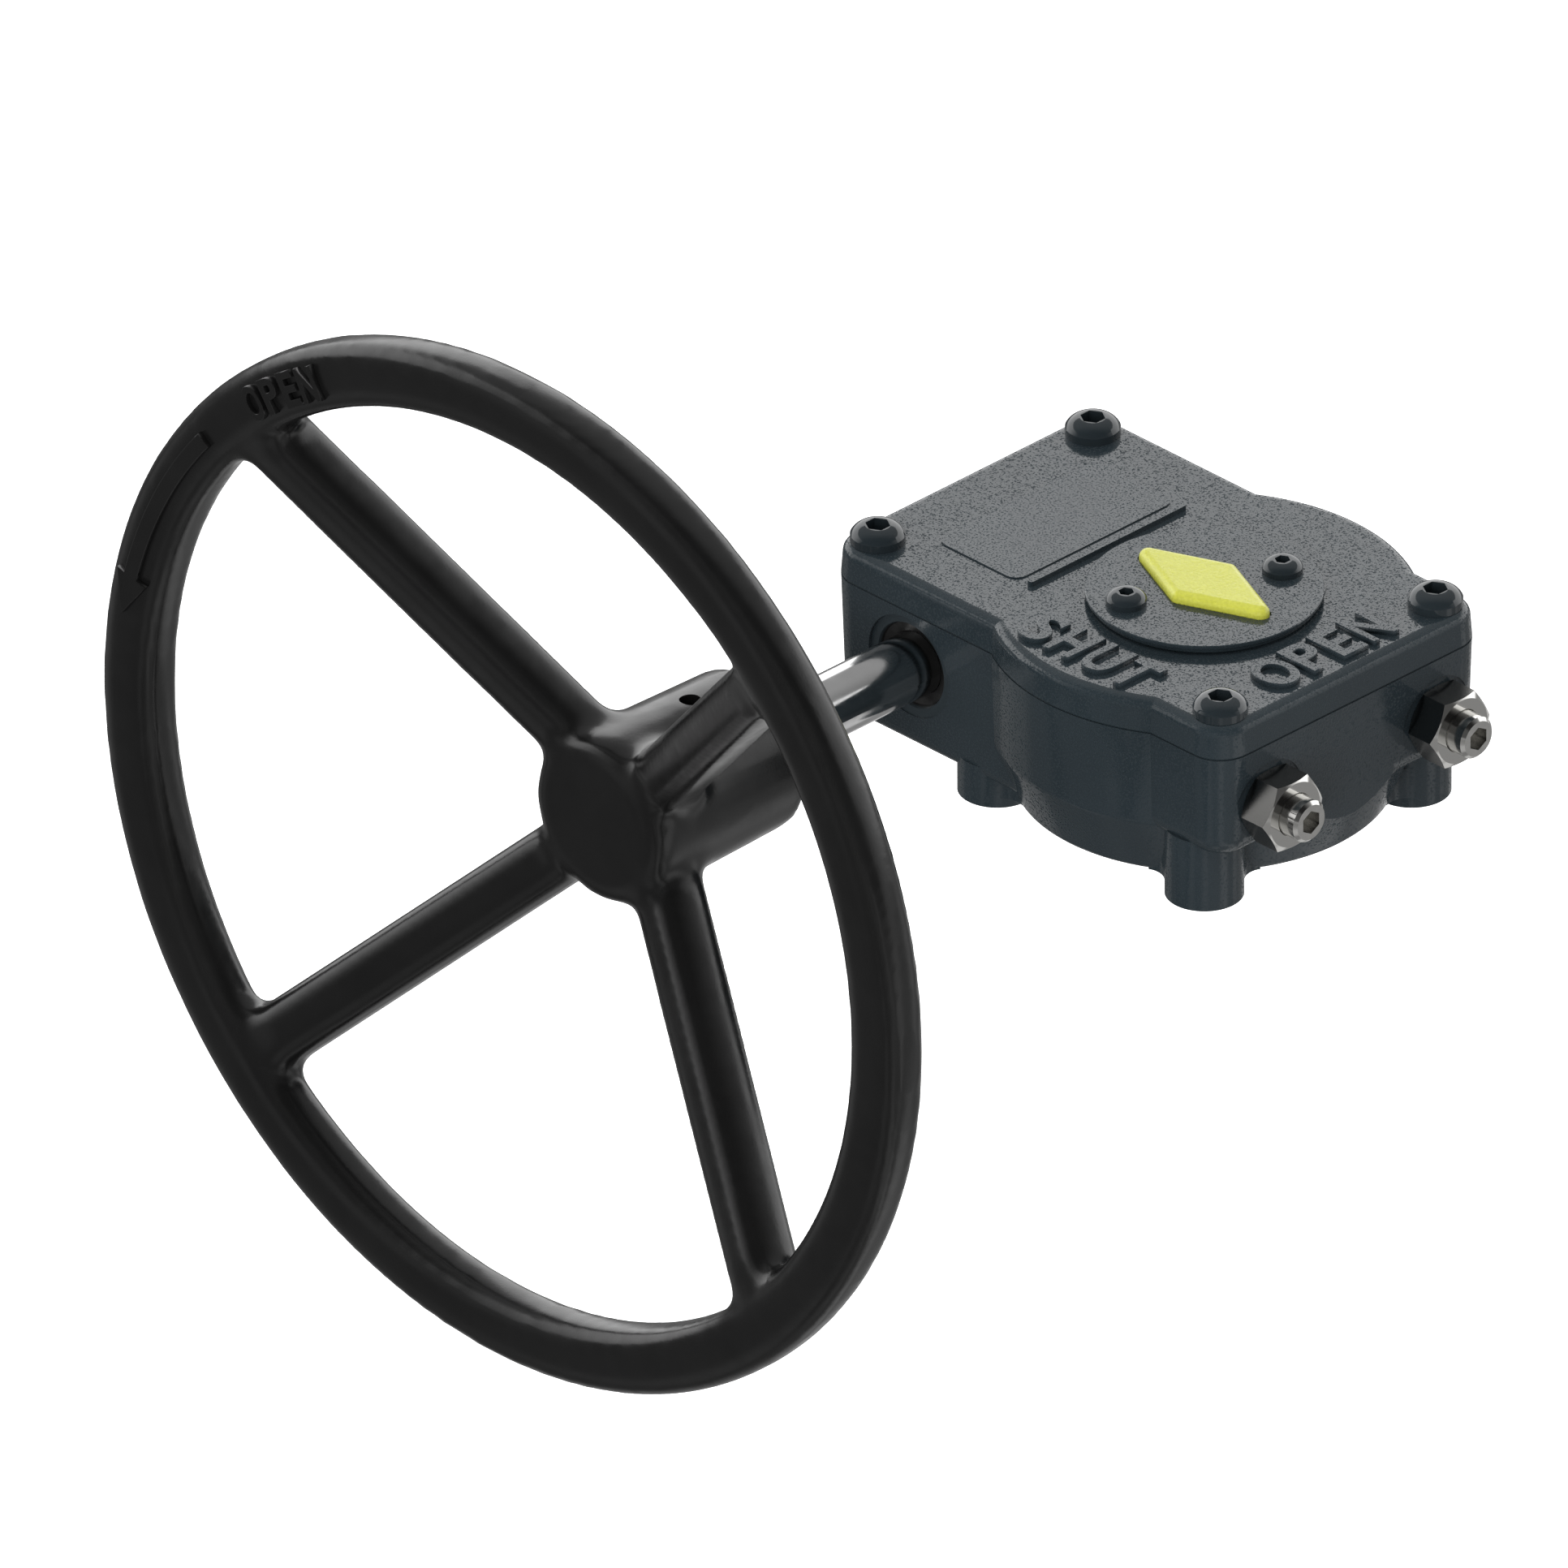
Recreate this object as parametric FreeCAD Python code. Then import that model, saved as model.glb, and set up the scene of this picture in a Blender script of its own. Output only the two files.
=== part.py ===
import FreeCAD, Part
import math
import os

# Quarter-turn worm gear operator for a valve. Millimetres, +Z up.
# The origin is on the output axis, at the face that sits on the valve's top flange.
# The handwheel's shaft runs along Y and leaves the gearbox towards -Y. It rests at OPEN.

# How far a cut runs past the face it opens, and how far joined solids lap
OVERCUT = 1.0

# Valve flange and stem
FLANGE_PCD = 70.0
FLANGE_HOLES = 4
FLANGE_HOLE_R = 3.4
FLANGE_HOLE_DEPTH = 11.0
STEM_R = 11.0
STEM_ROOF = 2.65
KEY_WIDTH = 6.0
KEY_DEPTH = 2.8
KEY_LENGTH = 30.0

# Worm gear
CENTRE_DISTANCE = 41.1
WORM_AXIS_Z = 21.7
MODULE = 1.7
GEAR_TEETH = 36
PRESSURE_DEG = 20.0
BACKLASH = 0.25
TIP_GAP = 0.2
GEAR_FACE = 12.0
STOP_FACE = 7.0
MESH_MARGIN_DEG = 28.0
FLANK_STEPS = 6
FLANK_START = 0.05
WORM_TURNS = 5
WORM_HUB_EXTRA = 5.1
WORM_THREAD_ROOT = 0.15
WORM_CHAMFER = 0.5
CHAMBER_GAP = 1.2
CAVITY_GAP = 1.7

# Gearbox levels above the valve flange
FLOOR_UNDERSIDE_Z = 2.0
FLOOR_TOP_Z = 13.0
HOUSING_TOP_Z = 32.9
GASKET_THICK = 0.4
COVER_THICK = 6.05

# Gearbox walls and outline
BULGE_WALL = 5.05
FRONT_WALL = 3.57
REAR_WALL = 7.07
SCREW_Y = 27.0
CORNER_R = 6.57
DRAFT_DEG = 2.0
COVER_INSET = 0.45
COVER_EDGE_R = 2.0
GASKET_INSET = 0.3

# Lower body and lugs
BULGE_END_Z = 14.0
BULGE_END_ROUND = 2.5
BASE_R = 33.8
BASE_ROUND = 1.5
FRONT_BLOCK_Z = 12.0
FRONT_BLOCK_ROUND = 4.0
REAR_BLOCK_Z = 5.0
REAR_BLOCK_ROUND = 3.0
BLOCK_LAP = 5.0
LUG_R = 7.13
LUG_OFFSET = 1.8
LUG_FLARE_R = 4.0

# Quadrant journals, bushes and seals
HUB_WALL = 4.0
HUB_SHOULDER = 2.0
UPPER_STEP = 1.5
HUB_BOTTOM_Z = 0.8
JOURNAL_CHAMFER = 0.5
RUNNING_GAP = 0.05
END_GAP = 0.1
BUSH_WALL = 1.95
UPPER_BUSH_WALL = 1.45
BUSH_FLANGE = 1.0
BUSH_FLANGE_REACH = 2.0
SEAL_HEIGHT = 1.4
SEAL_ROUND = 0.4
SEAL_SINK = 0.95
COVER_BOSS_WALL = 4.0

# Input shaft and its bearings
SHAFT_R = 6.0
SHAFT_CHAMFER = 0.8
SHAFT_END_GAP = 0.2
BEARING_WALL = 3.0
BEARING_CHAMFER = 0.4
SEAL_STEP = 1.0
SEAL_RECESS = 1.0
SEAL_DEPTH = 4.2
SEAL_CASE = 1.7
SEAL_LIP_DEPTH = 1.5
SEAL_CONE_DEPTH = 0.9
SEAL_CONE_STEP = 0.4
WASHER_REACH = 2.0
WASHER_THICK = 1.5
WASHER_GAP = 0.05
PLUG_RECESS = 0.6
PLUG_THICK = 3.5
PLUG_RIM = 1.2
PLUG_SLOPE = 0.6
PLUG_CUP = 1.0
WORM_PIN_R = 1.25
WORM_PIN_WALL = 0.8
WORM_PIN_SINK = 0.2
PIN_CHAMFER = 0.3

# Handwheel
WHEEL_R = 100.0
RIM_WIDTH = 12.4
RIM_DEPTH = 10.9
RIM_ROUND = 3.7
RIM_DISH = 26.1
SPOKES = 4
SPOKE_WIDTH = 11.8
SPOKE_DEPTH = 11.8
SPOKE_FRONT_ROUND = 4.0
SPOKE_REAR_ROUND = 3.3
SPOKE_HUB_STEP = 1.08
SPOKE_RIM_STEP = 1.73
SPOKE_RIM_LAP = 3.4
SPOKE_START = 7.0
WHEEL_STANDOFF = 39.43
WHEEL_HUB_LENGTH = 39.2
WHEEL_HUB_BLIND = 11.4
WHEEL_HUB_FRONT_R = 16.3
WHEEL_HUB_REAR_R = 15.3
WHEEL_HUB_ROUND = 3.3
WHEEL_HUB_REAR_ROUND = 1.2
WHEEL_PIN_SHARE = 0.383
WHEEL_PIN_R = 2.0
WHEEL_PIN_BORE_R = 1.1
WHEEL_PIN_SINK = 3.3
WHEEL_PIN_SLOT = 0.7

# Stop screws and lock nuts
STOP_Y = 21.0
STOP_DROP = 0.7
STOP_R = 4.0
STOP_TIP_GAP = 0.1
STOP_PROUD = 4.0
STOP_CHAMFER = 0.6
STOP_SOCKET_AF = 4.0
STOP_SOCKET_DEPTH = 4.5
STOP_SEAT_DEPTH = 0.15
STOP_SEAT_R = 8.2
NUT_AF = 13.0
NUT_THICK = 6.8
NUT_FLAT_SHARE = 0.96
NUT_CHAMFER_DEG = 30.0
NUT_LEAD = 0.15

# Cover screws and dowels
M6_R = 3.0
M6_CLEARANCE = 0.3
M6_LENGTH = 12.0
M6_HEAD_R = 5.0
M6_HEAD_HEIGHT = 3.3
M6_SOCKET_AF = 4.0
HEAD_RIM_SHARE = 0.45
HEAD_FLAT_SHARE = 0.47
HEAD_CROWN_OUT = 0.06
HEAD_CROWN_UP = 0.67
SOCKET_FLOOR_SHARE = 0.35
SCREW_TIP_SHARE = 0.15
DOWEL_R = 2.0
DOWEL_LENGTH = 9.0
DOWEL_ROOF = 2.35
DOWEL_EDGE = 3.6
DOWEL_CHAMFER = 0.4

# Indicator
CAP_REACH = 0.6
CAP_LIP = 0.7
CAP_FLANGE = 0.8
CAP_CHAMFER = 0.15
CAP_THICK = 1.65
CAP_LIFT = 0.3
M4_R = 2.0
M4_CLEARANCE = 0.25
M4_LENGTH = 8.0
M4_HEAD_R = 3.7
M4_HEAD_HEIGHT = 2.3
M4_SOCKET_AF = 2.5
INDICATOR_SCREW_INSET = 3.5
INDICATOR_SCREW_DEG = 67.4
POINTER_MARGIN = 2.25
POINTER_HALF_WIDTH = 7.85
POINTER_HEIGHT = 1.9
POINTER_EDGE_R = 1.5
POINTER_CORNER_STEP = 0.2
POINTER_SEAT = 0.4
POINTER_GAP = 0.3
PEG_R = 1.5
PEG_X = 7.5

# Raised bar and nameplate on the cover
BAR_CLEAR = 3.2
BAR_LENGTH = 39.1
BAR_WIDTH = 1.3
BAR_HEIGHT = 1.0
BAR_ROUND = 0.5
PLATE_FROM_BAR = 2.05
PLATE_WIDTH = 20.3
PLATE_HALF_Y = 20.0
PLATE_CORNER_R = 2.5
PLATE_THICK = 0.25

# Worm and wheel, worked out
WORM_X = -CENTRE_DISTANCE
PITCH = math.pi * MODULE
PITCH_R = GEAR_TEETH * MODULE / 2
WORM_PITCH_R = CENTRE_DISTANCE - PITCH_R
WORM_TIP_R = WORM_PITCH_R + MODULE
WORM_ROOT_R = WORM_PITCH_R - MODULE - TIP_GAP
GEAR_TIP_R = PITCH_R + MODULE
GEAR_ROOT_R = PITCH_R - MODULE - TIP_GAP
GEAR_BOTTOM_Z = WORM_AXIS_Z - GEAR_FACE / 2
GEAR_TOP_Z = WORM_AXIS_Z + GEAR_FACE / 2
THREAD_LENGTH = WORM_TURNS * PITCH
WORM_HUB_END = THREAD_LENGTH / 2 + WORM_HUB_EXTRA
CHAMBER_HALF_Y = WORM_HUB_END + WASHER_GAP + WASHER_THICK
CHAMBER_R = WORM_TIP_R + CHAMBER_GAP
WORM_PIN_Y = WORM_HUB_END - WORM_PIN_WALL - WORM_PIN_R

# Gearbox, worked out
CAVITY_R = GEAR_TIP_R + CAVITY_GAP
BULGE_R = CAVITY_R + BULGE_WALL
FRONT_FACE_X = CAVITY_R + FRONT_WALL
REAR_FACE_X = WORM_X - CHAMBER_R - REAR_WALL
SIDE_Y = SCREW_Y + CORNER_R
SCREW_FRONT_X = FRONT_FACE_X - CORNER_R
SCREW_REAR_X = REAR_FACE_X + CORNER_R
COVER_BOTTOM_Z = HOUSING_TOP_Z + GASKET_THICK
COVER_TOP_Z = COVER_BOTTOM_Z + COVER_THICK
FRONT_LUG_TOP_Z = FRONT_BLOCK_Z + FRONT_BLOCK_ROUND / 2
REAR_LUG_TOP_Z = REAR_BLOCK_Z + REAR_BLOCK_ROUND
LUG_CENTRE_R = FLANGE_PCD / 2 + LUG_OFFSET
DOWEL_TOP_Z = COVER_TOP_Z - DOWEL_ROOF
DOWEL_BOTTOM_Z = DOWEL_TOP_Z - DOWEL_LENGTH
BOLT_ANGLES = [45.0 + 360.0 * i / FLANGE_HOLES for i in range(FLANGE_HOLES)]
SCREW_PLACES = [(x, s * SCREW_Y) for x in (SCREW_FRONT_X, SCREW_REAR_X) for s in (-1, 1)]
FRONT_DOWEL = (SCREW_FRONT_X - CORNER_R, SIDE_Y - DOWEL_EDGE)
DOWEL_PLACES = [(REAR_FACE_X + DOWEL_EDGE, 0.0), FRONT_DOWEL]

# Hub, bushes and indicator, worked out
LOWER_JOURNAL_R = STEM_R + HUB_WALL
HUB_R = LOWER_JOURNAL_R + HUB_SHOULDER
UPPER_JOURNAL_R = HUB_R + UPPER_STEP
LOWER_BUSH_R = LOWER_JOURNAL_R + RUNNING_GAP + BUSH_WALL
UPPER_BUSH_R = UPPER_JOURNAL_R + RUNNING_GAP + UPPER_BUSH_WALL
UPPER_BUSH_TOP_Z = COVER_TOP_Z - SEAL_SINK - SEAL_HEIGHT
HUB_SHOULDER_Z = FLOOR_TOP_Z + BUSH_FLANGE + END_GAP
UPPER_FLANGE_Z = GEAR_TOP_Z + END_GAP
COVER_BOSS_Z = UPPER_FLANGE_Z + BUSH_FLANGE
COVER_BOSS_R = UPPER_BUSH_R + COVER_BOSS_WALL
CAP_BOTTOM_Z = COVER_TOP_Z + CAP_LIFT
CAP_TOP_Z = CAP_BOTTOM_Z + CAP_THICK
CAP_STEP_R = UPPER_BUSH_R + CAP_REACH
CAP_R = CAP_STEP_R + CAP_LIP
STEM_TOP_Z = CAP_BOTTOM_Z - STEM_ROOF
INDICATOR_SCREW_R = UPPER_JOURNAL_R - INDICATOR_SCREW_INSET
POINTER_HALF_LENGTH = CAP_STEP_R - POINTER_MARGIN
POINTER_CORNER_R = POINTER_EDGE_R + POINTER_CORNER_STEP
BAR_X = -CAP_R - BAR_CLEAR
PLATE_FRONT_X = BAR_X - BAR_WIDTH / 2 - PLATE_FROM_BAR

# Shaft and handwheel, worked out
BEARING_R = SHAFT_R + BEARING_WALL
SEAL_R = BEARING_R + SEAL_STEP
WASHER_R = BEARING_R + WASHER_REACH
SEAL_FACE_Y = -SIDE_Y + SEAL_RECESS
SEAL_END_Y = SEAL_FACE_Y + SEAL_DEPTH
PLUG_END_Y = SIDE_Y - PLUG_RECESS
PLUG_START_Y = PLUG_END_Y - PLUG_THICK
SHAFT_REAR_Y = PLUG_START_Y - SHAFT_END_GAP
HUB_REAR_Y = -SIDE_Y - WHEEL_STANDOFF
HUB_FRONT_Y = HUB_REAR_Y - WHEEL_HUB_LENGTH
SHAFT_FRONT_Y = HUB_FRONT_Y + WHEEL_HUB_BLIND
WHEEL_PIN_Y = HUB_REAR_Y - WHEEL_HUB_LENGTH * WHEEL_PIN_SHARE
WHEEL_PIN_REACH = WHEEL_HUB_REAR_R - WHEEL_PIN_SINK
RIM_INNER_R = WHEEL_R - RIM_WIDTH
RIM_FRONT_Y = HUB_FRONT_Y - RIM_DISH
SPOKE_AT_HUB_Y = HUB_FRONT_Y + SPOKE_HUB_STEP
SPOKE_AT_RIM_Y = RIM_FRONT_Y + SPOKE_RIM_STEP
SPOKE_SLOPE = (SPOKE_AT_HUB_Y - SPOKE_AT_RIM_Y) / (RIM_INNER_R - WHEEL_HUB_FRONT_R)
SPOKE_ANGLES = [45.0 + 360.0 * i / SPOKES for i in range(SPOKES)]

# Stop screws, worked out
STOP_Z = WORM_AXIS_Z - STOP_DROP
STOP_WALL_X = FRONT_FACE_X - (HOUSING_TOP_Z - STOP_Z) * math.tan(math.radians(DRAFT_DEG))
STOP_SEAT_X = STOP_WALL_X - STOP_SEAT_DEPTH
STOP_TIP_X = STOP_FACE + STOP_TIP_GAP
STOP_END_X = STOP_SEAT_X + NUT_THICK + STOP_PROUD

X = FreeCAD.Vector(1, 0, 0)
Y = FreeCAD.Vector(0, 1, 0)
Z = FreeCAD.Vector(0, 0, 1)
ORIGIN = FreeCAD.Vector(0, 0, 0)


def point(x, y, z):
    return FreeCAD.Vector(x, y, z)


def on_shaft(y):
    """A point on the input shaft's axis."""
    return point(WORM_X, y, WORM_AXIS_Z)


def cylinder(radius, start, end):
    """A round bar between two points."""
    run = end - start
    return Part.makeCylinder(radius, run.Length, start, run)


def upright(radius, place, z0, z1):
    """A round bar along Z at a place (x, y)."""
    x, y = place
    return cylinder(radius, point(x, y, z0), point(x, y, z1))


def box(x0, x1, y0, y1, z0, z1):
    return Part.makeBox(x1 - x0, y1 - y0, z1 - z0, point(x0, y0, z0))


def frame(origin, across, up):
    """A placement whose local x runs along across and whose local y runs along up."""
    return FreeCAD.Placement(origin, FreeCAD.Rotation(across, up, across.cross(up), "XYZ"))


def rounded_wire(corners, radii, placement):
    """A closed outline with a round of its own radius at each corner."""
    pts = [point(a, b, 0) for a, b in corners]
    starts = []
    mids = []
    ends = []
    for i, here in enumerate(pts):
        before = (pts[i - 1] - here).normalize()
        after = (pts[(i + 1) % len(pts)] - here).normalize()
        if radii[i] > 0:
            half = before.getAngle(after) / 2
            reach = radii[i] / math.tan(half)
            middle = (before + after).normalize()
            starts.append(here + before * reach)
            mids.append(here + middle * (radii[i] / math.sin(half) - radii[i]))
            ends.append(here + after * reach)
        else:
            starts.append(here)
            mids.append(None)
            ends.append(here)
    edges = []
    for i in range(len(pts)):
        if mids[i] is not None:
            edges.append(Part.Arc(starts[i], mids[i], ends[i]).toShape())
        follow = starts[(i + 1) % len(pts)]
        if (follow - ends[i]).Length > 1e-6:
            edges.append(Part.LineSegment(ends[i], follow).toShape())
    wire = Part.Wire(edges)
    wire.Placement = placement
    return wire


def turned(corners, radii, base=ORIGIN, axis=Z):
    """A solid of revolution; corners are (radius, distance along the axis)."""
    across = X if abs(axis.x) < 0.5 else Y
    face = Part.Face(rounded_wire(corners, radii, frame(base, across, axis)))
    solid = face.revolve(base, axis, 360)
    if solid.Volume < 0:
        solid.reverse()
    return solid


def ring(outer, inner, start, end, chamfer=0.0):
    """A plain bush, washer or ring between two points."""
    run = end - start
    far = run.Length
    profile = [(inner, 0), (outer, 0), (outer, far), (inner, far)]
    if chamfer > 0:
        profile = [(inner, 0), (outer - chamfer, 0), (outer, chamfer), (outer, far - chamfer)]
        profile += [(outer - chamfer, far), (inner, far)]
    return turned(profile, [0] * len(profile), start, run.normalize())


def round_bar(radius, chamfer, start, end):
    """A bar with a chamfer at both ends."""
    run = end - start
    far = run.Length
    profile = [(0, 0), (radius - chamfer, 0), (radius, chamfer), (radius, far - chamfer)]
    profile += [(radius - chamfer, far), (0, far)]
    return turned(profile, [0] * 6, start, run.normalize())


def hexagon(across_flats, start, end, corner_direction):
    """A hexagonal prism with a corner pointing along corner_direction."""
    run = end - start
    axis = FreeCAD.Vector(run).normalize()
    radius = across_flats / math.sqrt(3)
    turns = [math.radians(60 * i) for i in range(6)]
    corners = [(radius * math.cos(a), radius * math.sin(a)) for a in turns]
    placement = frame(start, corner_direction, axis.cross(corner_direction))
    return Part.Face(rounded_wire(corners, [0] * 6, placement)).extrude(run)


def rounded_block(x0, x1, half_y, radius, z0, z1, inset0=0.0, inset1=0.0):
    """A rounded rectangular block whose outline is drawn in by inset0 below and inset1 above."""
    wires = []
    for z, inset in ((z0, inset0), (z1, inset1)):
        a, b, c = x0 + inset, x1 - inset, half_y - inset
        corners = [(a, -c), (b, -c), (b, c), (a, c)]
        wires.append(rounded_wire(corners, [radius - inset] * 4, frame(point(0, 0, z), X, Y)))
    return Part.makeLoft(wires, True, True)


def edges_at(shape, z):
    return [e for e in shape.Edges if all(abs(v.Z - z) < 1e-4 for v in e.Vertexes)]


def fused(shapes):
    return shapes[0].fuse(shapes[1:]).removeSplitter()


def button_screw(radius, length, head_r, head_height, socket_af, seat):
    """A button head screw that points down, with its head standing on the point seat."""
    rim = HEAD_RIM_SHARE * head_height
    flat_r = HEAD_FLAT_SHARE * head_r
    tip = SCREW_TIP_SHARE * radius
    shank = [(0, -length), (radius - tip, -length), (radius, tip - length), (radius, 0)]
    pts = [point(a, 0, b) for a, b in shank + [(head_r, 0), (head_r, rim)]]
    crown_r = (head_r + flat_r) / 2 + HEAD_CROWN_OUT * head_r
    crown = point(crown_r, 0, rim + HEAD_CROWN_UP * (head_height - rim))
    edge = point(flat_r, 0, head_height)
    top = point(0, 0, head_height)
    edges = [Part.LineSegment(pts[i], pts[i + 1]).toShape() for i in range(len(pts) - 1)]
    edges.append(Part.Arc(pts[-1], crown, edge).toShape())
    edges.append(Part.LineSegment(edge, top).toShape())
    edges.append(Part.LineSegment(top, pts[0]).toShape())
    body = Part.Face(Part.Wire(edges)).revolve(ORIGIN, Z, 360)
    floor = point(0, 0, SOCKET_FLOOR_SHARE * head_height)
    screw = body.cut(hexagon(socket_af, floor, top + Z * OVERCUT, Y))
    screw.translate(seat)
    return screw


def inset_at(z):
    """How far the housing's draft has drawn its walls in at a height."""
    return (HOUSING_TOP_Z - z) * math.tan(math.radians(DRAFT_DEG))


def drafted(x0, x1, half_y, radius, z0):
    return rounded_block(x0, x1, half_y, radius, z0, HOUSING_TOP_Z, inset_at(z0), 0.0)


def polar(radius, degrees):
    a = math.radians(degrees)
    return radius * math.cos(a), radius * math.sin(a)


def lug(angle):
    place = polar(LUG_CENTRE_R, angle)
    top = FRONT_LUG_TOP_Z if place[0] > 0 else REAR_LUG_TOP_Z
    return upright(LUG_R, place, 0, top)


def lug_flare(angle):
    """The web between a lug and the round base, with a hollow flare on each side."""
    a = BASE_R + LUG_FLARE_R
    b = LUG_R + LUG_FLARE_R
    turn = math.acos((a * a + LUG_CENTRE_R ** 2 - b * b) / (2 * a * LUG_CENTRE_R))
    centre = point(a * math.cos(turn), a * math.sin(turn), 0)
    lug_centre = point(LUG_CENTRE_R, 0, 0)
    on_base = centre * (BASE_R / a)
    on_lug = lug_centre + (centre - lug_centre) * (LUG_R / b)
    inward = (on_base + on_lug - centre * 2).normalize()
    upper = [on_base, centre + inward * LUG_FLARE_R, on_lug]
    lower = [point(p.x, -p.y, 0) for p in upper]
    edges = [Part.Arc(*upper).toShape(), Part.LineSegment(on_lug, lower[2]).toShape()]
    edges += [Part.Arc(*lower[::-1]).toShape(), Part.LineSegment(lower[0], on_base).toShape()]
    web = Part.Face(Part.Wire(edges)).extrude(Z * (REAR_LUG_TOP_Z - FLOOR_UNDERSIDE_Z))
    web.translate(Z * FLOOR_UNDERSIDE_Z)
    web.rotate(ORIGIN, Z, angle)
    return web


def flange_hole(angle):
    return upright(FLANGE_HOLE_R, polar(FLANGE_PCD / 2, angle), -OVERCUT, FLANGE_HOLE_DEPTH)


def cavity(z0, z1):
    """The room for the quadrant and the worm, between two heights."""
    round_part = upright(CAVITY_R, (0, 0), max(z0, FLOOR_TOP_Z), z1)
    x0, x1 = WORM_X - CHAMBER_R, WORM_X + CHAMBER_R
    chamber = box(x0, x1, -CHAMBER_HALF_Y, CHAMBER_HALF_Y, max(z0, WORM_AXIS_Z), z1)
    return round_part.fuse(chamber)


def worm_tunnel():
    return cylinder(CHAMBER_R, on_shaft(-CHAMBER_HALF_Y), on_shaft(CHAMBER_HALF_Y))


def housing():
    foot_r = BULGE_R - inset_at(BULGE_END_Z)
    corners = [(0, HOUSING_TOP_Z), (BULGE_R, HOUSING_TOP_Z), (foot_r, BULGE_END_Z)]
    corners += [(BASE_R, FLOOR_UNDERSIDE_Z), (0, FLOOR_UNDERSIDE_Z)]
    round_body = turned(corners, [0, 0, BULGE_END_ROUND, BASE_ROUND, 0])
    limit = drafted(REAR_FACE_X, FRONT_FACE_X, BULGE_R + CORNER_R, CORNER_R, 0)
    rear = drafted(REAR_FACE_X, BLOCK_LAP, SIDE_Y, CORNER_R, REAR_BLOCK_Z)
    rear = rear.makeFillet(REAR_BLOCK_ROUND, edges_at(rear, REAR_BLOCK_Z))
    front = drafted(-BLOCK_LAP, FRONT_FACE_X, SIDE_Y, CORNER_R, FRONT_BLOCK_Z)
    front = front.makeFillet(FRONT_BLOCK_ROUND, edges_at(front, FRONT_BLOCK_Z))
    parts = [round_body.common(limit), rear, front]
    parts += [lug(a) for a in BOLT_ANGLES] + [lug_flare(a) for a in BOLT_ANGLES]
    body = fused(parts)
    above = HOUSING_TOP_Z + OVERCUT
    cuts = [cavity(0, above), worm_tunnel()]
    cuts.append(upright(LOWER_BUSH_R, (0, 0), 0, FLOOR_TOP_Z + OVERCUT))
    cuts += [flange_hole(a) for a in BOLT_ANGLES]
    hole_bottom = COVER_TOP_Z - M6_LENGTH - OVERCUT
    cuts += [upright(M6_R, place, hole_bottom, above) for place in SCREW_PLACES]
    cuts += [upright(DOWEL_R, place, DOWEL_BOTTOM_Z, above) for place in DOWEL_PLACES]
    cuts.append(cylinder(BEARING_R, on_shaft(-SIDE_Y), on_shaft(SIDE_Y + OVERCUT)))
    cuts.append(cylinder(SEAL_R, on_shaft(-SIDE_Y - OVERCUT), on_shaft(SEAL_END_Y)))
    for s in (-1, 1):
        seat = point(STOP_SEAT_X, s * STOP_Y, STOP_Z)
        inside = point(STOP_TIP_X, s * STOP_Y, STOP_Z)
        beyond = point(FRONT_FACE_X + OVERCUT, s * STOP_Y, STOP_Z)
        cuts.append(cylinder(STOP_R + RUNNING_GAP, inside, seat))
        cuts.append(cylinder(STOP_SEAT_R, seat, beyond))
    return body.cut(cuts)


def cover():
    z0, z1 = COVER_BOTTOM_Z, COVER_TOP_Z
    body = rounded_block(REAR_FACE_X, FRONT_FACE_X, SIDE_Y, CORNER_R, z0, z1, 0.0, COVER_INSET)
    body = body.makeFillet(COVER_EDGE_R, edges_at(body, z1))
    bulge = turned([(0, z0), (BULGE_R, z0), (BULGE_R - COVER_INSET, z1), (0, z1)],
                   [0, 0, COVER_EDGE_R, 0])
    bulge = bulge.common(box(-SCREW_FRONT_X, SCREW_FRONT_X, -BULGE_R, BULGE_R, z0, z1))
    boss = upright(COVER_BOSS_R, (0, 0), COVER_BOSS_Z, z0 + OVERCUT)
    a, b = BAR_LENGTH / 2, BAR_WIDTH / 2
    bar_outline = [(BAR_X - b, -a), (BAR_X + b, -a), (BAR_X + b, a), (BAR_X - b, a)]
    bar_frame = frame(point(0, 0, z1 - OVERCUT), X, Y)
    bar = Part.Face(rounded_wire(bar_outline, [BAR_ROUND] * 4, bar_frame))
    body = fused([body, bulge, boss, bar.extrude(Z * (BAR_HEIGHT + OVERCUT))])
    below = z0 - OVERCUT
    top = z1 + OVERCUT
    cuts = [upright(UPPER_BUSH_R, (0, 0), COVER_BOSS_Z - OVERCUT, top), worm_tunnel()]
    cuts += [upright(M6_R + M6_CLEARANCE, place, below, top) for place in SCREW_PLACES]
    cuts += [upright(DOWEL_R, place, below, DOWEL_TOP_Z) for place in DOWEL_PLACES]
    return body.cut(cuts)


def cover_gasket():
    g = GASKET_INSET
    z0, z1 = HOUSING_TOP_Z, COVER_BOTTOM_Z
    body = rounded_block(REAR_FACE_X + g, FRONT_FACE_X - g, SIDE_Y - g, CORNER_R - g, z0, z1)
    bulge = upright(BULGE_R - g, (0, 0), z0, z1)
    bulge = bulge.common(box(-SCREW_FRONT_X, SCREW_FRONT_X, -BULGE_R, BULGE_R, z0, z1))
    below, above = z0 - OVERCUT, z1 + OVERCUT
    cuts = [cavity(below, above)]
    cuts += [upright(M6_R + M6_CLEARANCE, place, below, above) for place in SCREW_PLACES]
    cuts += [upright(DOWEL_R, place, below, above) for place in DOWEL_PLACES]
    return fused([body, bulge]).cut(cuts)


def nameplate():
    """A thin plate that lies on the cover, behind its raised bar."""
    x0, z0 = PLATE_FRONT_X - PLATE_WIDTH, COVER_TOP_Z
    return rounded_block(x0, PLATE_FRONT_X, PLATE_HALF_Y, PLATE_CORNER_R, z0, z0 + PLATE_THICK)


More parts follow.
